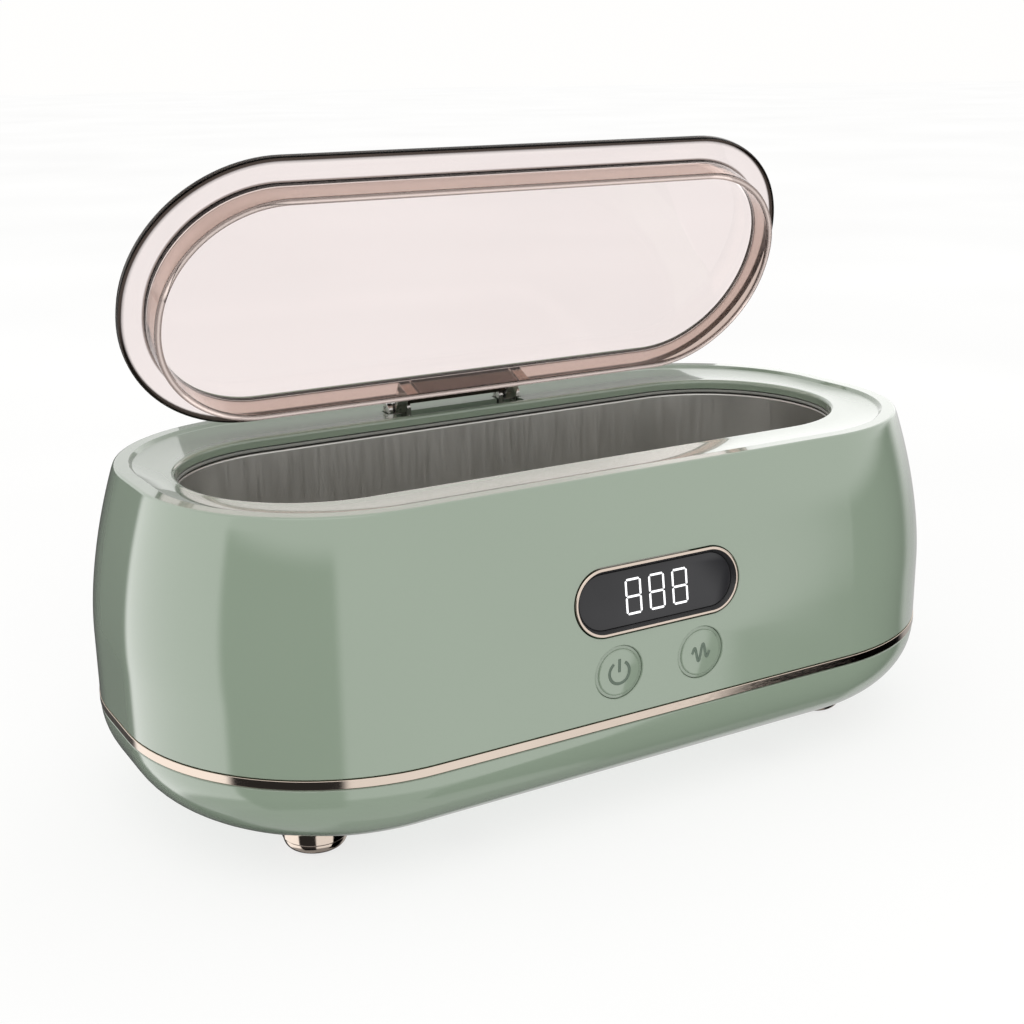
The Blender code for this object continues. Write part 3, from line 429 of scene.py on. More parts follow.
def rising(count):
    """Shares from just above 0 to 1."""
    return [step / count for step in range(1, count + 1)]


def quarter(steps):
    """Angles of a quarter turn, without its start."""
    return [math.pi / 2 * share for share in rising(steps)]


def rounding(radius, steps):
    """(out, down) points of a rounded edge, from just inside its top to its wall."""
    return [(radius * (1 - math.sin(a)), radius * (1 - math.cos(a))) for a in quarter(steps)]


def rounded(corners, closed=False, steps=5):
    """A profile through (across, up, radius) corners, each rounded to its radius."""
    points = []
    count = len(corners)
    for i, (across, up, radius) in enumerate(corners):
        corner = Vector((across, up, 0))
        if radius == 0 or (not closed and i in (0, count - 1)):
            points.append((across, up))
            continue
        before = (Vector((*corners[i - 1][:2], 0)) - corner).normalized()
        after = (Vector((*corners[(i + 1) % count][:2], 0)) - corner).normalized()
        half = before.angle(after) / 2
        centre = corner + (before + after).normalized() * (radius / math.sin(half))
        start = corner + before * (radius / math.tan(half)) - centre
        end = corner + after * (radius / math.tan(half)) - centre
        for step in range(steps + 1):
            point = centre + start.slerp(end, step / steps) * radius
            points.append((point.x, point.y))
    return points


def outline(half_length, half_width, corner):
    """Points round a rounded rectangle, anticlockwise from its right end's rear corner."""
    points = []
    for quarter_turn, (sx, sy) in enumerate([(1, 1), (-1, 1), (-1, -1), (1, -1)]):
        centre = Vector((sx * (half_length - corner), sy * (half_width - corner)))
        for step in range(CORNER_STEPS + 1):
            angle = math.pi / 2 * (quarter_turn + step / CORNER_STEPS)
            points.append(centre + corner * Vector((math.cos(angle), math.sin(angle))))
        if sx == sy:
            start = points[-1]
            way = Vector((-sx * 2 * (half_length - corner), 0))
            points += [start + way * (step / STRAIGHT_STEPS) for step in range(1, STRAIGHT_STEPS)]
    return points


def add_object(name, data):
    obj = bpy.data.objects.new(name, data)
    bpy.context.scene.collection.objects.link(obj)
    return obj


def shade_smooth(mesh):
    mesh.shade_smooth()
    mesh.set_sharp_from_angle(angle=SHARP_ANGLE)


def evaluated_mesh(obj):
    bpy.context.view_layer.update()
    return bpy.data.meshes.new_from_object(obj.evaluated_get(bpy.context.evaluated_depsgraph_get()))


def mesh_object(name, shape):
    mesh = bpy.data.meshes.new(name)
    bmesh.ops.recalc_face_normals(shape, faces=shape.faces)
    shape.to_mesh(mesh)
    shape.free()
    shade_smooth(mesh)
    return add_object(name, mesh)


def loft(name, rings, closed=False, matrix=None):
    """A solid through rings of (half length, half width, corner, height), as in the CAD."""
    shape = bmesh.new()
    loops = [
        [shape.verts.new(Vector((x, y, height)) * MM) for x, y in outline(length, width, corner)]
        for length, width, corner, height in rings
    ]
    if closed:
        loops.append(loops[0])
    for lower, upper in zip(loops, loops[1:]):
        for i in range(len(lower)):
            shape.faces.new((lower[i - 1], lower[i], upper[i], upper[i - 1]))
    if not closed:
        for loop in (loops[0], loops[-1]):
            shape.faces.new(loop)
    if matrix:
        bmesh.ops.transform(shape, matrix=matrix, verts=shape.verts)
    return mesh_object(name, shape)


def along(ring, profile):
    """The rings of a profile of (inset or outset, height) points."""
    return [ring(inset, z) for inset, z in profile]


def turn_to(axis, at):
    """The matrix that takes a profile's Z axis to the given axis and its origin to a place."""
    turns = {
        "Z": Matrix(),
        "Y": Matrix.Rotation(math.pi / 2, 4, "X"),
        "X": Matrix.Rotation(math.pi / 2, 4, "Y"),
    }
    return Matrix.Translation(Vector(at) * MM) @ turns[axis]


def upright(low, high, z=0.0):
    """A frame at height z on the upright line through the middle of a box."""
    return turn_to("Z", ((low.x + high.x) / 2, (low.y + high.y) / 2, z))


def facing(low, high, y):
    """A frame along Y, through the middle of a box."""
    return turn_to("Y", ((low.x + high.x) / 2, y, (low.z + high.z) / 2))


def spun(name, profile, matrix, steps=48):
    """A profile of (radius, height) points turned about Z. Points on the axis are shared."""
    shape = bmesh.new()
    loops = []
    for radius, height in profile:
        if radius < 1e-6:
            loops.append([shape.verts.new((0, 0, height * MM))] * steps)
            continue
        angles = [2 * math.pi * step / steps for step in range(steps)]
        points = [Vector((radius * math.cos(a), radius * math.sin(a), height)) for a in angles]
        loops.append([shape.verts.new(point * MM) for point in points])
    for lower, upper in zip(loops, loops[1:]):
        for i in range(steps):
            corners = dict.fromkeys((lower[i - 1], lower[i], upper[i], upper[i - 1]))
            if len(corners) > 2:
                shape.faces.new(list(corners))
    bmesh.ops.transform(shape, matrix=matrix, verts=shape.verts)
    return mesh_object(name, shape)


def rod(radius, start, end):
    """The profile of a plain cylinder."""
    return [(0, start), (radius, start), (radius, end), (0, end)]


def round_bar(radius, half, edge):
    """The profile of a cylinder about the origin with rounded rims."""
    return rounded([(0, half, 0), (radius, half, edge), (radius, -half, edge), (0, -half, 0)])


def block(name, low, high, edge=0.0):
    """A box from corner to corner, with its edges rounded."""
    shape = bmesh.new()
    bmesh.ops.create_cube(shape, size=1)
    size = Vector(high) - Vector(low)
    bmesh.ops.scale(shape, vec=size * MM, verts=shape.verts)
    bmesh.ops.translate(shape, vec=(Vector(low) + Vector(high)) / 2 * MM, verts=shape.verts)
    if edge:
        edges = shape.edges[:]
        bmesh.ops.bevel(shape, geom=edges, offset=edge * MM, segments=3, profile=0.5, affect="EDGES")
    return mesh_object(name, shape)


def apply_modifiers(obj):
    mesh = evaluated_mesh(obj)
    obj.modifiers.clear()
    obj.data = mesh


def combine(obj, operation, tools):
    """Joins or cuts obj with the tools, which are used up."""
    for tool in tools:
        step = obj.modifiers.new(tool.name, "BOOLEAN")
        step.operation = operation
        step.solver = "MANIFOLD"
        step.object = tool
    apply_modifiers(obj)
    shade_smooth(obj.data)
    for tool in tools:
        bpy.data.objects.remove(tool)


def even_normals(obj):
    """Lets the broad faces round a cut set its shading, so that the wall stays smooth up to the edge."""
    weighting = obj.modifiers.new("broad faces", "WEIGHTED_NORMAL")
    weighting.keep_sharp = True
    weighting.weight = 80
    apply_modifiers(obj)


def dress(obj, slot, body="root", nodes=(), look=None):
    """Gives a piece its material, its body and the CAD nodes that it stands for."""
    obj.data.materials.clear()
    obj.data.materials.append(look or LOOKS[slot])
    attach(obj, body)
    if nodes:
        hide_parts(*nodes)
    return obj


# ---- Outer shell -------------------------------------------------------------------------


def body_ring(inset, height):
    return (BODY_HALF_LENGTH - inset, BODY_HALF_WIDTH - inset, BODY_CORNER - inset, height)


def opening_ring(outset, height):
    return (OPENING_HALF_LENGTH + outset, OPENING_HALF_WIDTH + outset, OPENING_CORNER + outset, height)


def wall_inset(height):
    """How far the side wall stands in from the widest outline at this height."""
    lean = max(0.0, height - WIDEST) / (RIM_TOP - WIDEST)
    return RIM_INSET * lean**WALL_CURVE


def base_inset(height):
    drop = (BASE_TOP - height) / (BASE_TOP - BASE_BOTTOM)
    return BASE_UNDERCUT * (1 - (1 - min(drop, 1.0) ** 2) ** BASE_ROUNDNESS)


def steps_between(start, end, count):
    return [start + (end - start) * i / count for i in range(count + 1)]


def dish_rings(steps=10):
    """The dished seat round the opening, from the rim's crease to the opening's rounded edge."""
    outer = body_ring(CREASE_INSET + 0.35, CREASE_HEIGHT)
    inner = opening_ring(DISH_EDGE_RADIUS, DISH_EDGE)
    rings = []
    for i in range(steps + 1):
        out = 1 - i / steps
        plan = [a * out + b * (1 - out) for a, b in zip(outer[:3], inner[:3])]
        rings.append((*plan, DISH_EDGE + (CREASE_HEIGHT - 0.12 - DISH_EDGE) * out**2))
    return rings


def display_matrix():
    """The window's frame: its XY plane lies in the wall, with +Z out of the window."""
    front = -(BODY_HALF_WIDTH - wall_inset(DISPLAY_HEIGHT))
    place = Matrix.Translation(Vector((0, front, DISPLAY_HEIGHT)) * MM)
    return place @ Matrix.Rotation(math.pi / 2 - DISPLAY_TILT, 4, "X")


def window_ring(inset, height):
    radius = BEZEL_HEIGHT / 2 - inset
    return (BEZEL_LENGTH / 2 - inset, radius, radius - 0.01, height)


def flared_cutter(name, radius, matrix, flare=0.3, depth=8.0):
    """A round cutter whose mouth opens out, so that the hole's edge comes out rounded."""
    profile = [(0, depth), (radius + flare, depth), (radius + flare, 0.02)]
    profile += [(radius + out, -down) for out, down in rounding(flare, 6)]
    profile += [(radius, -depth), (0, -depth)]
    return spun(name, profile, matrix, steps=64)


def front_cutters():
    flare = 0.3
    rings = [window_ring(-GAP - flare, 6), window_ring(-GAP - flare, 0.1)]
    rings += [window_ring(-GAP - out, 0.1 - down) for out, down in rounding(flare, 5)]
    rings.append(window_ring(-GAP, -8))
    window = loft("window_cutter", rings, matrix=display_matrix())
    buttons = []
    for name in ("power_button", "mode_button"):
        at = facing(*box_mm(name), -BODY_HALF_WIDTH)
        buttons.append(flared_cutter(f"{name}_cutter", BUTTON_HOLE, at))
    return [window, *buttons]


def hinge_pocket_cutters():
    cutters = [block("bar_cutter", (-17.6, 29.9, 72.5), (17.6, 34.6, 79), 0.5)]
    half = 3.4
    for side, x, _ in hinge_sides():
        cutters.append(block(f"lug_cutter_{side}", (x - half, 33.55, 68), (x + half, 37.45, 80), 0.4))
    return cutters


def build_upper_housing():
    shoulder = RIM_TOP - 1.3
    outside = [body_ring(0, HOUSING_BOTTOM + 0.25)]
    outside += [body_ring(wall_inset(z), z) for z in steps_between(HOUSING_BOTTOM + 1.2, WIDEST, 6)]
    outside += [body_ring(wall_inset(z), z) for z in steps_between(WIDEST, shoulder, 22)[1:]]
    top = wall_inset(RIM_TOP) + 0.1
    start = (wall_inset(shoulder - 1), shoulder - 1, 0)
    land = [(top, RIM_TOP, 0.75), (CREASE_INSET - 0.8, RIM_TOP, 0.4)]
    crease = [(CREASE_INSET, CREASE_HEIGHT, 0.2), (CREASE_INSET + 0.6, CREASE_HEIGHT - 0.1, 0)]
    rim = rounded([start, *land, *crease], steps=7)[1:-1]
    edge = [opening_ring(out, DISH_EDGE - down) for out, down in rounding(DISH_EDGE_RADIUS, 6)]
    inside = [
        opening_ring(0, DECK_UNDERSIDE),
        body_ring(wall_inset(DECK_UNDERSIDE) + WALL + 1, DECK_UNDERSIDE),
        *[body_ring(wall_inset(z) + WALL, z) for z in (64, 56, 48, WIDEST, HOUSING_BOTTOM)],
        body_ring(0.25, HOUSING_BOTTOM),
    ]
    rings = [*outside, *along(body_ring, rim), *dish_rings(), *edge, *inside]
    housing = loft("housing", rings, closed=True)
    posts = [post(corner, place) for corner, place in CASE_SCREWS.items()]
    combine(housing, "UNION", [*posts, *board_bosses([(0, 0), (2.4, 0), (2.6, 0.2), (2.6, 7), (0, 7)])])
    bores = [
        spun(f"bore_{corner}", rod(1.35, 12, -12), turn_to("Z", (*place, HOUSING_BOTTOM)), 24)
        for corner, place in CASE_SCREWS.items()
    ]
    bores += board_bosses(rod(BOARD_SCREW_BORE, -3, 5))
    across = INLET_HALF + GAP
    inlet = block("inlet_cutter", (-across, 47, INLET_LOW.z + 0.7), (across, 60, INLET_HIGH.z - 0.7), 0.6)
    combine(housing, "DIFFERENCE", [*bores, *front_cutters(), inlet, *hinge_pocket_cutters()])
    even_normals(housing)
    dress(housing, "housing_green", nodes=["upper_housing"])


def post(corner, place):
    """A post under the deck for one of the case's screws."""
    low, high = HOUSING_BOTTOM, DECK_UNDERSIDE + 1
    profile = [(0, high), (3.5, high), (3.5, low + 0.3), (3.2, low), (0, low)]
    return spun(f"post_{corner}", profile, turn_to("Z", (*place, 0)), 32)


def board_bosses(profile):
    """A turned profile behind the front wall at each of the control board's screws."""
    made = []
    y = box_mm("control_board")[0].y - GAP
    for side in SIDES:
        at = facing(*box_mm(f"control_board_screw_{side}"), y)
        made.append(spun(f"board_boss_{side}", profile, at, 32))
    return made


def build_base():
    """The tray-like lower moulding, with its screw bosses, screw wells and foot pockets."""
    heights = [BASE_BOTTOM + BASE_CURVE_RISE * share**2 for share in rising(22)]
    side = [body_ring(base_inset(z), z) for z in heights]
    outside = [body_ring(base_inset(BASE_BOTTOM) + 0.4, BASE_BOTTOM), *side, body_ring(0.25, BASE_TOP)]
    depth = BASE_TOP - BASE_FLOOR
    inside = [body_ring(base_inset(z) + WALL, z) for z in (BASE_TOP - depth * part for part in rising(8))]
    base = loft("base", [*outside, body_ring(WALL, BASE_TOP), *inside])
    bosses = []
    holes = []
    top = HOUSING_BOTTOM - GAP
    low = BASE_FLOOR - GAP
    radius = 4.5
    boss = [(0, top), (radius - 0.2, top), (radius, top - 0.3), (radius, low), (0, low)]
    head = 3.1
    soft = 0.3
    well = [(0, 12), (head, 12), (head, BASE_BOTTOM + soft)]
    mouth = head + soft
    well += [(mouth - soft * math.cos(a), BASE_BOTTOM + soft * (1 - math.sin(a))) for a in quarter(4)]
    well += [(mouth, -2), (0, -2)]
    for corner, place in CASE_SCREWS.items():
        at = turn_to("Z", (*place, 0))
        bosses.append(spun(f"boss_{corner}", boss, at, 40))
        holes.append(spun(f"hole_{corner}", rod(1.6, 40, 0), at, 32))
        holes.append(spun(f"well_{corner}", well, at, 40))
        low, high = box_mm(f"foot_{corner}")
        pocket = rod(FOOT_POCKET_RADIUS, high.z + GAP, -6)
        holes.append(spun(f"pocket_{corner}", pocket, upright(low, high), 64))
    for number in (1, 2):
        at = upright(*box_mm(f"driver_board_screw_{number}"))
        top = box_mm("driver_board")[0].z - GAP
        low = BASE_FLOOR - 0.5
        profile = [(0, top), (2.8, top), (3, top - 0.2), (3, low), (0, low)]
        bosses.append(spun(f"post_{number}", profile, at, 32))
        holes.append(spun(f"bore_{number}", rod(BOARD_SCREW_BORE, 16, 7.2), at, 24))
    combine(base, "UNION", bosses)
    combine(base, "DIFFERENCE", holes)
    even_normals(base)
    dress(base, "housing_green", nodes=["base_shell"])


def build_trim():
    """The plated band. It fills its joint more than the solid part does, and stands less proud."""
    face = BODY_HALF_LENGTH - TRIM_HIGH.x + 0.17
    back = 3.4
    low = TRIM_LOW.z - 0.1
    high = TRIM_HIGH.z + 0.2
    corners = [(back, low, 0.1), (face, low, 0.12), (face, high, 0.12), (back, high, 0.1)]
    profile = rounded(corners, closed=True, steps=6)
    trim = loft("trim_band", along(body_ring, profile), closed=True)
    even_normals(trim)
    dress(trim, "rose_gold", nodes=["trim_ring"])


def build_feet():
    """Plated round feet with a dome below their straight band, and a rubber pad set in each."""
    dome_top = 2.6
    dome_height = 2.25
    recess_top = 1.9
    for corner in CASE_SCREWS:
        low, high = box_mm(f"foot_{corner}")
        radius = (high.x - low.x) / 2
        pad_radius = box_mm(f"foot_pad_{corner}")[1].x - (low.x + high.x) / 2
        recess = pad_radius + GAP
        top = high.z
        band = [(0, top, 0), (radius, top, 0.4), (radius, 2.9, 0.3), (radius - 0.25, dome_top, 0)]
        cap = [(0, top), *rounded(band)[1:]]
        lip = recess + 0.2
        dome = radius - 0.25 - lip
        cap += [(lip + dome * math.cos(a), dome_top - dome_height * math.sin(a)) for a in quarter(8)]
        cap += [(recess, 0.5), (recess, recess_top), (0, recess_top)]
        at = upright(low, high)
        dress(spun(f"foot_cap_{corner}", cap, at, 72), "rose_gold", nodes=[f"foot_{corner}"])
        ribs = [(pad_radius - 0.9 * i, 0.0 if i % 2 else 0.25) for i in range(1, 5)]
        edge = [(0, 1.6, 0), (pad_radius, 1.6, 0.2), (pad_radius, 0, 0.3), (pad_radius - 0.8, 0, 0)]
        pad = spun(f"pad_{corner}", [*rounded(edge), *ribs, (0, ribs[-1][1])], at, 56)
        dress(pad, "rubber", nodes=[f"foot_pad_{corner}"])


def pan_screw(name, matrix, head, height, shank, length):
    """A pan-head screw with a cross recess and a threaded shank, its head at the origin facing -Z."""
    crown = [(0, 0)] + [(head * math.sin(a), height * 0.75 * (1 - math.cos(a))) for a in quarter(8)]
    profile = [*crown, (head, height), (shank, height)]
    pitch = 0.8
    root = shank * 0.82
    for turn in range(int(length / pitch)):
        at = height + 0.4 + turn * pitch
        profile += [(shank, at), (root, at + 0.4)]
    end = height + length
    profile += [(root, end - pitch), (shank * 0.4, end), (0, end)]
    screw = spun(name, profile, Matrix(), 40)
    reach = head * 0.62
    arms = [
        block("arm_a", (-reach, -head * 0.13, -1), (reach, head * 0.13, height * 0.6)),
        block("arm_b", (-head * 0.13, -reach, -1), (head * 0.13, reach, height * 0.6)),
    ]
    combine(screw, "DIFFERENCE", arms)
    screw.data.transform(matrix)
    return screw


def build_screws():
    head_height = 2.0
    for corner in CASE_SCREWS:
        node = f"housing_screw_{corner}"
        low, high = box_mm(node)
        at = upright(low, high, low.z)
        head = (high.x - low.x) / 2
        length = high.z - low.z - head_height
        screw = pan_screw(f"case_screw_{corner}", at, head, head_height, 1.2, length)
        dress(screw, "steel", nodes=[node])


# ---- Tank --------------------------------------------------------------------------------


def build_tank():
    """The drawn pan: a rolled flange, straight walls and a floor with a wide radius."""
    floor = TANK_LOW.z + TANK_SHEET
    top = TANK_HIGH.z
    flange = GASKET_OUTSET + 0.2
    wall = -TANK_CLEARANCE
    flat = wall - TANK_FLOOR_RADIUS - 3
    corners = [(flange, top, 0), (wall, top, 0.5), (wall, floor, TANK_FLOOR_RADIUS), (flat, floor, 0)]
    inside = rounded(corners, steps=12)
    under, below, wall = top - TANK_SHEET, floor - TANK_SHEET, wall + TANK_SHEET
    corners = [(flat, below, 0), (wall, below, TANK_FLOOR_RADIUS + TANK_SHEET), (wall, under, 0.3)]
    outside = rounded([*corners, (flange, under, 0)], steps=8)
    profile = [*reversed(inside), *reversed(outside)]
    pan = loft("tank_pan", along(opening_ring, profile))
    dress(pan, "stainless", nodes=["tank"])


def build_gasket():
    low, high = GASKET_LOW.z, GASKET_HIGH.z
    lip = -0.2
    corners = [(lip, low, 0.25), (GASKET_OUTSET, low, 0.1), (GASKET_OUTSET, high, 0.1), (lip, high, 0.25)]
    profile = rounded(corners, closed=True, steps=3)
    seal = loft("tank_seal", along(opening_ring, profile), closed=True)
    dress(seal, "silicone", nodes=["tank_gasket"])


# ---- Display and buttons -----------------------------------------------------------------

LENS_FACE = -0.85  # height of the window's face in its frame, below the bezel's crown
CROWN_WIDTH = 0.62  # of the plated bezel, in front of its black liner


def build_display():
    matrix = display_matrix()
    deep = BEZEL_PROUD - 1.9
    crown = [(0, BEZEL_PROUD, 0.22), (CROWN_WIDTH, BEZEL_PROUD, 0.12)]
    profile = rounded([(0, deep, 0), *crown, (CROWN_WIDTH, deep, 0)], steps=6)
    bezel = loft("window_bezel", along(window_ring, profile), closed=True, matrix=matrix)
    dress(bezel, "rose_gold", nodes=["display_bezel"])
    outer = CROWN_WIDTH + 0.02
    slope = [(outer, BEZEL_PROUD - 0.12, 0), (BEZEL_WIDTH, LENS_FACE + 0.04, 0.1)]
    liner = rounded([(outer, deep, 0), *slope, (BEZEL_WIDTH, deep, 0)], steps=4)
    liner = loft("window_liner", along(window_ring, liner), closed=True, matrix=matrix)
    dress(liner, "black_plastic")
    shelf = deep - GAP
    side = BEZEL_WIDTH + 0.1
    sides = rounded([(9, LENS_FACE, 0), (side, LENS_FACE, 0.15), (side, shelf, 0)])
    rings = along(window_ring, (*sides[1:], (GAP, shelf), (GAP, shelf - 0.8)))
    lens = loft("window_lens", rings, matrix=matrix)
    dress(lens, "smoked_lens", nodes=["display_lens"])
    dress(digit_segments(matrix), "display_white")


DIGIT_WIDTH = 3.95
DIGIT_HEIGHT = 7.6
DIGIT_PITCH = 5.85
STROKE = 0.45
SEGMENT_GAP = 0.12


def segment(shape, start, end, centre):
    """One bar of a digit with pointed ends, standing a little out of the window's face."""
    along = (end - start).normalized()
    across = Vector((-along.y, along.x)) * (STROKE / 2)
    tip = STROKE / 2
    near = start + along * SEGMENT_GAP
    far = end - along * SEGMENT_GAP
    corners = [
        near,
        near + along * tip + across,
        far - along * tip + across,
        far,
        far - along * tip - across,
        near + along * tip - across,
    ]
    low, high = LENS_FACE - 0.3, LENS_FACE + 0.02
    lower = [shape.verts.new(Vector((*(centre + p), low)) * MM) for p in corners]
    upper = [shape.verts.new(Vector((*(centre + p), high)) * MM) for p in corners]
    shape.faces.new(lower)
    shape.faces.new(upper)
    for i in range(len(corners)):
        shape.faces.new((lower[i - 1], lower[i], upper[i], upper[i - 1]))


def digit_segments(matrix):
    """Three seven-segment digits with every bar lit."""
    shape = bmesh.new()
    x = (DIGIT_WIDTH - STROKE) / 2
    y = (DIGIT_HEIGHT - STROKE) / 2
    for place in (-1, 0, 1):
        centre = Vector((place * DIGIT_PITCH, 0))
        for height in (-y, 0, y):
            segment(shape, Vector((-x, height)), Vector((x, height)), centre)
        for side in (-x, x):
            segment(shape, Vector((side, -y)), Vector((side, 0)), centre)
            segment(shape, Vector((side, 0)), Vector((side, y)), centre)
    bmesh.ops.transform(shape, matrix=matrix, verts=shape.verts)
    return mesh_object("display_digits", shape)


def stroke(name, routes, centre, radius=0.33):
    """Raised rounded lines on a button's face. Each route is a list of (across, up) points."""
    curve = bpy.data.curves.new(name, "CURVE")
    curve.dimensions = "3D"
    curve.bevel_depth = radius * MM
    curve.bevel_resolution = 4
    curve.use_fill_caps = True
    for route in routes:
        line = curve.splines.new("POLY")
        line.points.add(len(route) - 1)
        for target, (across, up) in zip(line.points, route):
            target.co = (*(Vector((across, 0, up)) * MM), 1)
    lines = add_object(name, curve)
    mesh = evaluated_mesh(lines)
    bpy.data.objects.remove(lines)
    flat = Matrix.Diagonal((1, 0.35, 1, 1))
    mesh.transform(Matrix.Translation(centre * MM) @ flat)
    mesh.shade_smooth()
    return add_object(name, mesh)


def arc(radius, start, end, steps=32):
    """Points on a circle round the origin. Angles are in degrees, anticlockwise from the right."""
    angles = [math.radians(start + (end - start) * step / steps) for step in range(steps + 1)]
    return [(radius * math.cos(a), radius * math.sin(a)) for a in angles]


def pulse_wave():
    """A generic mode mark: a soft double wave."""
    points = []
    for step in range(49):
        share = step / 48
        swell = math.sin(math.pi * share) ** 0.5
        points.append((-2.3 + 4.6 * share, 1.9 * swell * math.sin(4 * math.pi * share)))
    return points


MARKS = {
    "power_button": [arc(2.45, 125, 415), [(0, 0.1), (0, 2.9)]],
    "mode_button": [pulse_wave()],
}


def build_buttons():
    """Caps with a soft sealing web in the gap round each, and a raised mark on the face."""
    for node, routes in MARKS.items():
        low, high = box_mm(node)
        front = low.y
        depth = high.y - low.y
        flange = (high.x - low.x) / 2
        web = 0.4
        edge = BUTTON_RADIUS - 0.15
        outer = BUTTON_HOLE - 0.1
        back = -2.5
        face = [(0, 0, 0), (edge, 0, 0.4), (edge, -web, 0.1), (outer, -web, 0.05), (outer, back, 0)]
        profile = rounded([*face, (flange, back, 0.1), (flange, -depth, 0.1), (0, -depth, 0)])
        centre = Vector(((low.x + high.x) / 2, front, (low.z + high.z) / 2))
        cap = spun(f"{node}_cap", profile, turn_to("Y", centre), 72)
        dress(cap, "housing_green", body=node, nodes=[node])
        mark = stroke(f"{node}_mark", routes, centre)
        dress(mark, "housing_green", body=node, look=MARK_LOOK)


# ---- Mains inlet -------------------------------------------------------------------------


def build_inlet():
    """A two-pin inlet with a rounded face, a figure-eight socket and a sloped mouth."""
    low, high = INLET_LOW, INLET_HIGH
    body = block("inlet_body", (-INLET_HALF, low.y, low.z + 1), (INLET_HALF, high.y, high.z - 1), 0.5)
    flange = block("inlet_flange", (low.x, 49.1, low.z), (high.x, 50.7, high.z), 0.4)
    combine(body, "UNION", [flange])
    centre_z = (low.z + high.z) / 2
    depth = 10
    spread = 4.3  # of each pin from the middle
    mouth = [(0, -2), (4.7, -2), (4.7, 0), (4.2, 0.6), (4.2, depth), (0, depth)]
    rims = []
    holes = []
    for side, sx in SIDES.items():
        rims.append(spun(f"socket_{side}", mouth, turn_to("Y", (sx * spread, high.y, centre_z)), 48))
        at = turn_to("Y", (sx * spread, 43, centre_z))
        holes.append(spun(f"pin_hole_{side}", rod(1.4, 20, -20), at, 24))
    waist_low = (-spread, high.y - depth, centre_z - 3.4)
    waist_high = (spread, high.y + 2, centre_z + 3.4)
    combine(body, "DIFFERENCE", [*rims, block("socket_waist", waist_low, waist_high, 0.3), *holes])
    dress(body, "black_plastic", nodes=["mains_inlet"])
    for side in SIDES:
        node = f"inlet_pin_{side}"
        pin_low, pin_high = box_mm(node)
        radius = (pin_high.x - pin_low.x) / 2
        at = turn_to("Y", ((pin_low.x + pin_high.x) / 2, pin_high.y, centre_z))
        tip = [(radius * math.sin(a), -radius * 0.7 * (1 - math.cos(a))) for a in quarter(6)]
        length = pin_high.y - pin_low.y
        profile = [(0, 0), *tip, (radius, -length), (0, -length)]
        pin = spun(f"contact_pin_{side}", profile, flip(at), 28)
        dress(pin, "steel", nodes=[node])


def flip(matrix):
    """The same place, facing the rear: a profile's height then runs towards -Y."""
    return matrix @ Matrix.Rotation(math.pi, 4, "X")


# ---- Lid and hinge -----------------------------------------------------------------------


def lid_matrix():
    """Takes points of the shut lid to the rest pose, where it stands open."""
    axis = HINGE_AXIS * MM
    return Matrix.Translation(axis) @ Matrix.Rotation(-LID_OPEN, 4, "X") @ Matrix.Translation(-axis)


def skirt_ring(inset, z):
    return (SKIRT_HALF_LENGTH - inset, SKIRT_HALF_WIDTH - inset, SKIRT_CORNER - inset, LID_SEAT + z)


def flange_ring(inset, z):
    return (LID_HALF_LENGTH - inset, LID_HALF_WIDTH - inset, LID_CORNER - inset, LID_SEAT + z)


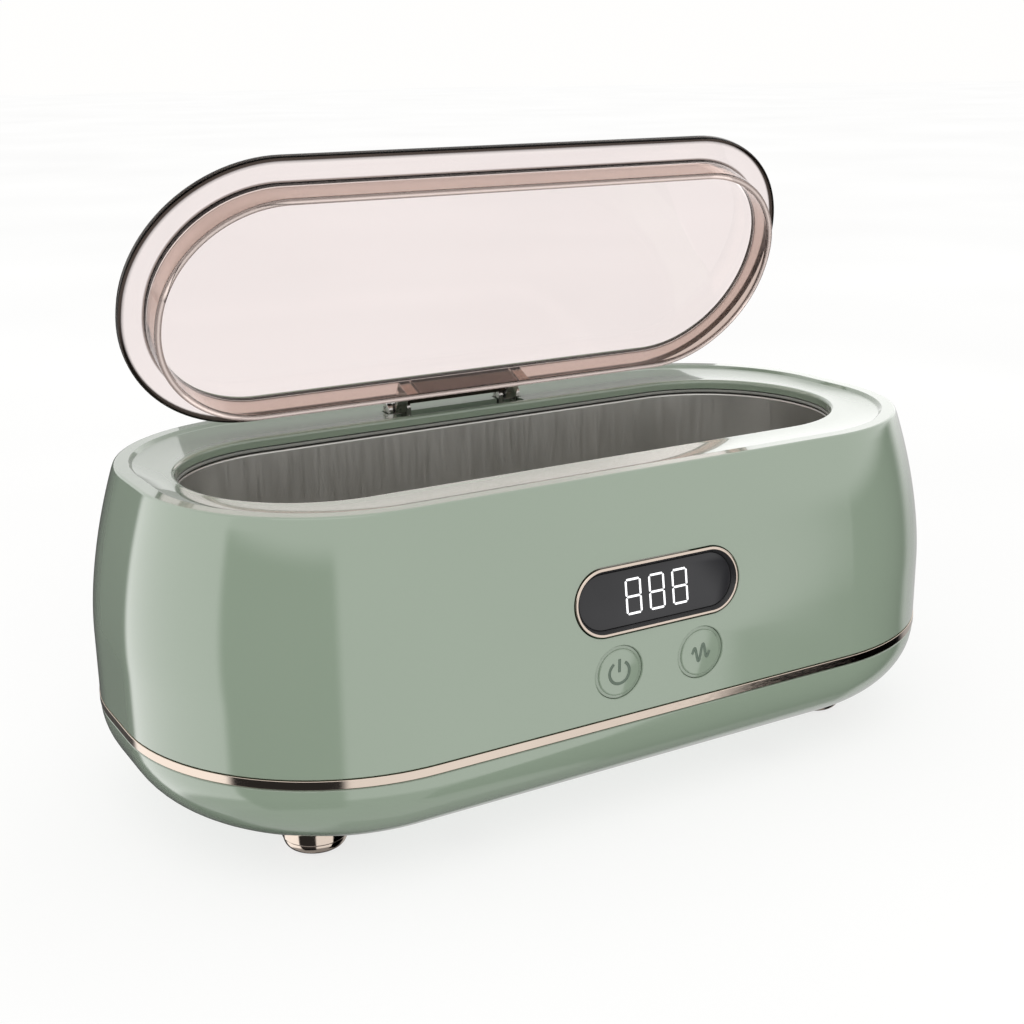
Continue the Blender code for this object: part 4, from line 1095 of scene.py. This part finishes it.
def build_lid():
    """One clear moulding: flange with soft edges, inner skirt and a slightly crowned panel."""
    tip_middle = (SKIRT_WALL / 2, -SKIRT_DEPTH)
    tip_inside = rounded([(SKIRT_WALL, -2, 0), (SKIRT_WALL - 0.1, -SKIRT_DEPTH, 0.35), (*tip_middle, 0)])
    tip_outside = rounded([(*tip_middle, 0), (0.1, -SKIRT_DEPTH, 0.35), (0, -2, 0)])
    inner_root = rounded([(SKIRT_WALL + 3, 0, 0), (SKIRT_WALL, 0, 0.6), (SKIRT_WALL, -2, 0)], steps=6)
    outer_root = rounded([(0, -2, 0), (0, 0, 0.25), (-3, 0, 0)], steps=4)
    corners = [(3, 0, 0), (0, 0, 0.7), (0, LID_THICKNESS, 1.0), (12, LID_THICKNESS + 0.55, 0)]
    edge = rounded(corners, steps=8)[1:-1]
    crown = []
    for share in rising(10):
        rise = 0.1 + (LID_CROWN - 0.1) * math.sin(share * math.pi / 2)
        if 24 * share > edge[-1][0] + 1:
            crown.append((24 * share, LID_THICKNESS + rise))
    # Each ring gets the lid's own tint or painted shade: darker on the skirt walls, dark on the skirt's rounded
    # tip and root, near black on the flange's rounded edge.
    plan = [
        (skirt_ring, inner_root[:-1], PANEL_TINT),
        (skirt_ring, [(SKIRT_WALL, -1), (SKIRT_WALL - 0.1, 0.7 - SKIRT_DEPTH)], SKIRT_TINT_AND_SHADE),
        (skirt_ring, tip_inside[1:-1], SKIRT_EDGE_PAINTED_SHADE),
        (skirt_ring, [tip_middle], SKIRT_TINT_AND_SHADE),
        (skirt_ring, tip_outside[1:-1], SKIRT_EDGE_PAINTED_SHADE),
        (skirt_ring, [(0.1, 0.7 - SKIRT_DEPTH), (0, -1)], SKIRT_TINT_AND_SHADE),
        (skirt_ring, outer_root[1:-1], SKIRT_EDGE_PAINTED_SHADE),
        (skirt_ring, [(-0.6, 0)], PANEL_TINT),
        (flange_ring, [(edge[0][0] + 0.8, 0)], PANEL_TINT),
        (flange_ring, edge, FLANGE_EDGE_PAINTED_SHADE),
        (flange_ring, [(edge[-1][0] + 0.4, edge[-1][1] + 0.02)], PANEL_TINT),
        (flange_ring, crown, PANEL_TINT),
    ]
    rings = [(ring(inset, z), tint) for ring, profile, tint in plan for inset, z in profile]
    lid = loft("clear_cover", [ring for ring, tint in rings], matrix=lid_matrix())
    around = len(lid.data.vertices) // len(rings)
    # The ring colours, painted shade among them, go into the colour attribute that the clear material reads.
    paint = lid.data.color_attributes.new(TINT_AND_SHADE, "FLOAT_COLOR", "POINT")
    for i, (ring, tint) in enumerate(rings):
        for point in paint.data[i * around : (i + 1) * around]:
            point.color = (*tint, 1.0)
    dress(lid, "clear_lid", body="lid", nodes=["lid"])


def hinge_hook(name, low_x, high_x, foot):
    """A thin web over the deck's edge and a leg down the gap between the skirt and the tank."""
    leg_front = SKIRT_HALF_WIDTH + 0.1
    web = block(f"{name}_web", (low_x, leg_front, HINGE_LEAF_TOP - 0.08), (high_x, 31.2, LID_SEAT - 0.03))
    leg = block(f"{name}_leg", (low_x, leg_front, foot), (high_x, leg_front + 0.5, LID_SEAT - 0.1), 0.12)
    combine(web, "UNION", [leg])
    return web


def hinge_sides():
    """Each side's name, the middle of its knuckle and the frame along its pin."""
    middles = {side: sx * KNUCKLE_X for side, sx in SIDES.items()}
    return [(side, x, turn_to("X", (x, HINGE_AXIS.y, HINGE_AXIS.z))) for side, x in middles.items()]


def build_lid_hinge():
    """The dark strip under the lid and the two steel leaves, whose ends show through the skirt."""
    matrix = lid_matrix()
    reach = 13.6
    bar = block("hinge_strip", (-reach, HINGE_LEAF_FRONT, 73.15), (reach, 33.3, HINGE_LEAF_TOP), 0.12)
    combine(bar, "UNION", [hinge_hook("strip", 0.1 - reach, reach - 0.1, 68.6)])
    bar.data.transform(matrix)
    dress(bar, "dark_hinge", body="lid", nodes=["lid_hinge_bar"])
    half = KNUCKLE_WIDTH / 2
    for side, x, at in hinge_sides():
        low = (x - half + 0.05, HINGE_LEAF_FRONT, 72.85)
        high = (x + half - 0.05, HINGE_AXIS.y, HINGE_LEAF_TOP)
        arm = block(f"leaf_{side}", low, high, 0.12)
        tab = hinge_hook(f"tab_{side}", low[0] + 0.1, high[0] - 0.1, 68.8)
        combine(arm, "UNION", [tab])
        barrel = spun(f"barrel_{side}", round_bar(KNUCKLE_RADIUS, half, 0.2), at, 40)
        bore = spun(f"bore_{side}", rod(HINGE_BORE, 9, -9), at, 24)
        combine(arm, "UNION", [barrel])
        combine(arm, "DIFFERENCE", [bore])
        arm.data.transform(matrix)
        arm.name = f"hinge_leaf_{side}"
        dress(arm, "steel", body="lid", nodes=[f"lid_knuckle_{side}"])


def build_bracket():
    """The steel plate under the deck, with a slotted lug for each knuckle and the pins."""
    low, high = box_mm("hinge_bracket")
    plate_top = DECK_UNDERSIDE - GAP
    half_lug = 3.1
    half_slot = KNUCKLE_WIDTH / 2 + GAP
    plate = block("hinge_plate", (low.x, 32.4, low.z), (high.x, 40, plate_top), 0.2)
    for side, x, at in hinge_sides():
        stem_low = (x - half_lug + 0.05, HINGE_AXIS.y - 1.55, low.z + 0.4)
        stem_high = (x + half_lug - 0.05, HINGE_AXIS.y + 1.55, HINGE_AXIS.z)
        stem = block("stem", stem_low, stem_high)
        top = spun("lug_top", round_bar(1.6, half_lug, 0.25), at, 40)
        combine(plate, "UNION", [stem, top])
        slot = block("slot", (x - half_slot, 30, plate_top + GAP), (x + half_slot, 42, 80))
        bore = spun("bore", rod(HINGE_BORE, 9, -9), at, 24)
        combine(plate, "DIFFERENCE", [slot, bore])
        pin_low, pin_high = box_mm(f"hinge_pin_{side}")
        half = (pin_high.x - pin_low.x) / 2
        radius = (pin_high.z - pin_low.z) / 2
        pin = spun(f"pivot_pin_{side}", round_bar(radius, half, 0.15), at, 28)
        dress(pin, "steel", nodes=[f"hinge_pin_{side}"])
    dress(plate, "steel", nodes=["hinge_bracket"])


# ---- CAD nodes that keep their shape ------------------------------------------------------


def finish_cad_nodes():
    """Every CAD node still shown takes the procedural look of its record slot."""
    for part in frame["record"]["subparts"]:
        node = frame["nodes"][part["node"]]
        if node.hide_render:
            continue
        slot = part["material_slot"]
        node.data.materials.clear()
        node.data.materials.append(LOOKS[slot])


# ---- Stage -------------------------------------------------------------------------------


def direction_window(sky, azimuth, elevation, around, up, softness):
    """A mask that is 1 towards a patch of sky, given in degrees round from +X and above the floor."""
    upright_soft = min(softness)
    edges = (
        (azimuth, around[0], softness[0], 0, 1),
        (azimuth, around[1], softness[1], 1, 0),
        (elevation, up[0], upright_soft, 0, 1),
        (elevation, up[1], upright_soft, 1, 0),
    )
    mask = 1.0
    for source, edge, soft, below, above in edges:
        limits = (below, above, edge - soft, edge + soft)
        step = sky.spread(source, *limits, interpolation_type="SMOOTHSTEP")
        mask = sky.maths("MULTIPLY", mask, step)
    return mask


# Cloths and panels round the white studio: degrees round from +X, degrees up, the light's factor
# (dark below 1, brighter above 1), and half the width of each soft side edge in degrees.
CLOTHS = [
    ((67, 116), (-60, 6), 0.08, (9, 3)),
    ((-172, -112), (-60, 14), 0.03, (3, 3)),
    ((-49, 8), (-60, 4), 0.012, (3, 8)),
    ((-51, 8), (-60, -20.5), 0.02, (0.7, 8)),
    ((8, 77), (-90, -6), 0.45, (8, 9)),
    ((118, 200), (-60, 40), 1.3, (3, 3)),
    ((-200, -172), (-60, 40), 1.3, (3, 3)),
    ((20, 55), (4, 32), 1.3, (3, 3)),
    ((55, 92), (6, 34), 0.86, (3, 3)),
    ((-190, 190), (-100, -46), 0.3, (3, 3)),
]
FILL = 0.92
STUDIO = 1.15
BACKDROP = 1.0


def build_world():
    """A white studio. Mirrored and refracted rays see its dark cloths, and the rest an even light."""
    world = bpy.data.worlds.new("studio")
    bpy.context.scene.world = world
    world.use_nodes = True
    sky = Graph(world.node_tree)
    background = sky.tree.nodes["Background"]
    place = sky.node("TexCoord").outputs["Generated"]
    axes = sky.node("SeparateXYZ", {0: place}).outputs
    azimuth = sky.maths("DEGREES", sky.maths("ARCTAN2", axes["Y"], axes["X"]))
    elevation = sky.maths("DEGREES", sky.maths("ARCSINE", axes["Z"]))
    level = STUDIO
    for around, up, factor, softness in CLOTHS:
        mask = direction_window(sky, azimuth, elevation, around, up, softness)
        level = sky.maths("MULTIPLY", level, sky.maths("MULTIPLY_ADD", mask, factor - 1.0, 1.0))
    rays = sky.node("LightPath").outputs
    mirrored = sky.maths("MAXIMUM", rays["Is Glossy Ray"], rays["Is Transmission Ray"])
    even = sky.maths("MULTIPLY_ADD", rays["Is Camera Ray"], BACKDROP - FILL, FILL)
    seen_mirrored = sky.maths("MULTIPLY", level, mirrored)
    seen_straight = sky.maths("MULTIPLY", even, sky.maths("SUBTRACT", 1.0, mirrored))
    sky.connect(sky.maths("ADD", seen_mirrored, seen_straight), background.inputs["Strength"])
    background.inputs["Color"].default_value = (1.0, 0.995, 0.985, 1.0)


def self_lit(look, factor, base, glow):
    """A flat material that gives its own even light. Base and glow are two colours each."""
    look.feed("Base Color", look.mix(factor, *base))
    look.feed("Emission Color", look.mix(factor, *glow))
    look.feed("Emission Strength", 1.0)
    look.feed("Specular IOR Level", 0.0)
    return look.material


def build_floor():
    shape = bmesh.new()
    bmesh.ops.create_circle(shape, cap_ends=True, segments=96, radius=9.0)
    floor = mesh_object("studio_floor", shape)
    look = Shader("floor_paper", 0.9)
    base = ((0.27, 0.27, 0.269), (0.29, 0.29, 0.289))
    glow = ((0.72, 0.72, 0.718), (0.74, 0.74, 0.738))
    floor.data.materials.append(self_lit(look, look.clouds(3, 2), base, glow))
    floor.visible_glossy = False


CARD_Y = 60.0
CARD_CORNERS = [(-64, 75.8), (114, 75.8), (86, 90), (-60, 90)]  # (across, up)


def build_card():
    """A grey card behind the rear rim. Only mirror reflections meet it, so it calms the rear deck."""
    shape = bmesh.new()
    shape.faces.new([shape.verts.new(Vector((x, CARD_Y, z)) * MM) for x, z in CARD_CORNERS])
    card = mesh_object("studio_card", shape)
    look = Shader("card_felt", 1.0)
    base = ((0.04, 0.04, 0.04), (0.06, 0.06, 0.06))
    glow = ((0.38, 0.38, 0.37), (0.42, 0.42, 0.41))
    card.data.materials.append(self_lit(look, look.noise(300, 2), base, glow))
    card.visible_camera = False
    card.visible_diffuse = False
    card.visible_transmission = False
    card.visible_shadow = False


LAMP_PLACE = Vector((-0.35, -0.55, 1.1))
LAMP_TARGET = Vector((0, 0, 0.05))


def build_lights():
    lamp = bpy.data.lights.new("overhead_softbox", "AREA")
    lamp.shape = "RECTANGLE"
    lamp.size = 1.0
    lamp.size_y = 0.8
    lamp.energy = 1.4
    lamp.color = (1.0, 0.985, 0.965)
    obj = add_object("overhead_softbox", lamp)
    obj.location = LAMP_PLACE
    obj.rotation_euler = (LAMP_TARGET - LAMP_PLACE).to_track_quat("-Z", "Y").to_euler()


CAMERA_PLACE = Vector((-176.26, -294.65, 156.55))
CAMERA_YAW = math.radians(30.19)
CAMERA_PITCH = math.radians(16.54)
CAMERA_ROLL = math.radians(-0.8)
CAMERA_LENS = 53.78


def build_camera():
    data = bpy.data.cameras.new("camera")
    data.lens = CAMERA_LENS
    data.sensor_width = 36.0
    data.shift_x = 0.0028
    data.shift_y = 0.0012
    camera = add_object("camera", data)
    level = math.cos(CAMERA_PITCH)
    ahead = (math.sin(CAMERA_YAW) * level, math.cos(CAMERA_YAW) * level, -math.sin(CAMERA_PITCH))
    ahead = Vector(ahead)
    right = ahead.cross(Vector((0, 0, 1))).normalized()
    up = right.cross(ahead)
    c, s = math.cos(CAMERA_ROLL), math.sin(CAMERA_ROLL)
    right, up = c * right + s * up, c * up - s * right
    turned = Matrix((right, up, -ahead)).transposed().to_4x4()
    camera.matrix_world = Matrix.Translation(CAMERA_PLACE * MM) @ turned
    bpy.context.scene.camera = camera


def build_stage():
    bpy.context.scene.view_settings.view_transform = "Standard"
    build_world()
    build_floor()
    build_card()
    build_lights()
    build_camera()


# ---- Assembly ----------------------------------------------------------------------------

build_upper_housing()
build_base()
build_trim()
build_feet()
build_screws()
build_tank()
build_gasket()
build_display()
build_buttons()
build_inlet()
build_lid()
build_lid_hinge()
build_bracket()
finish_cad_nodes()
build_stage()
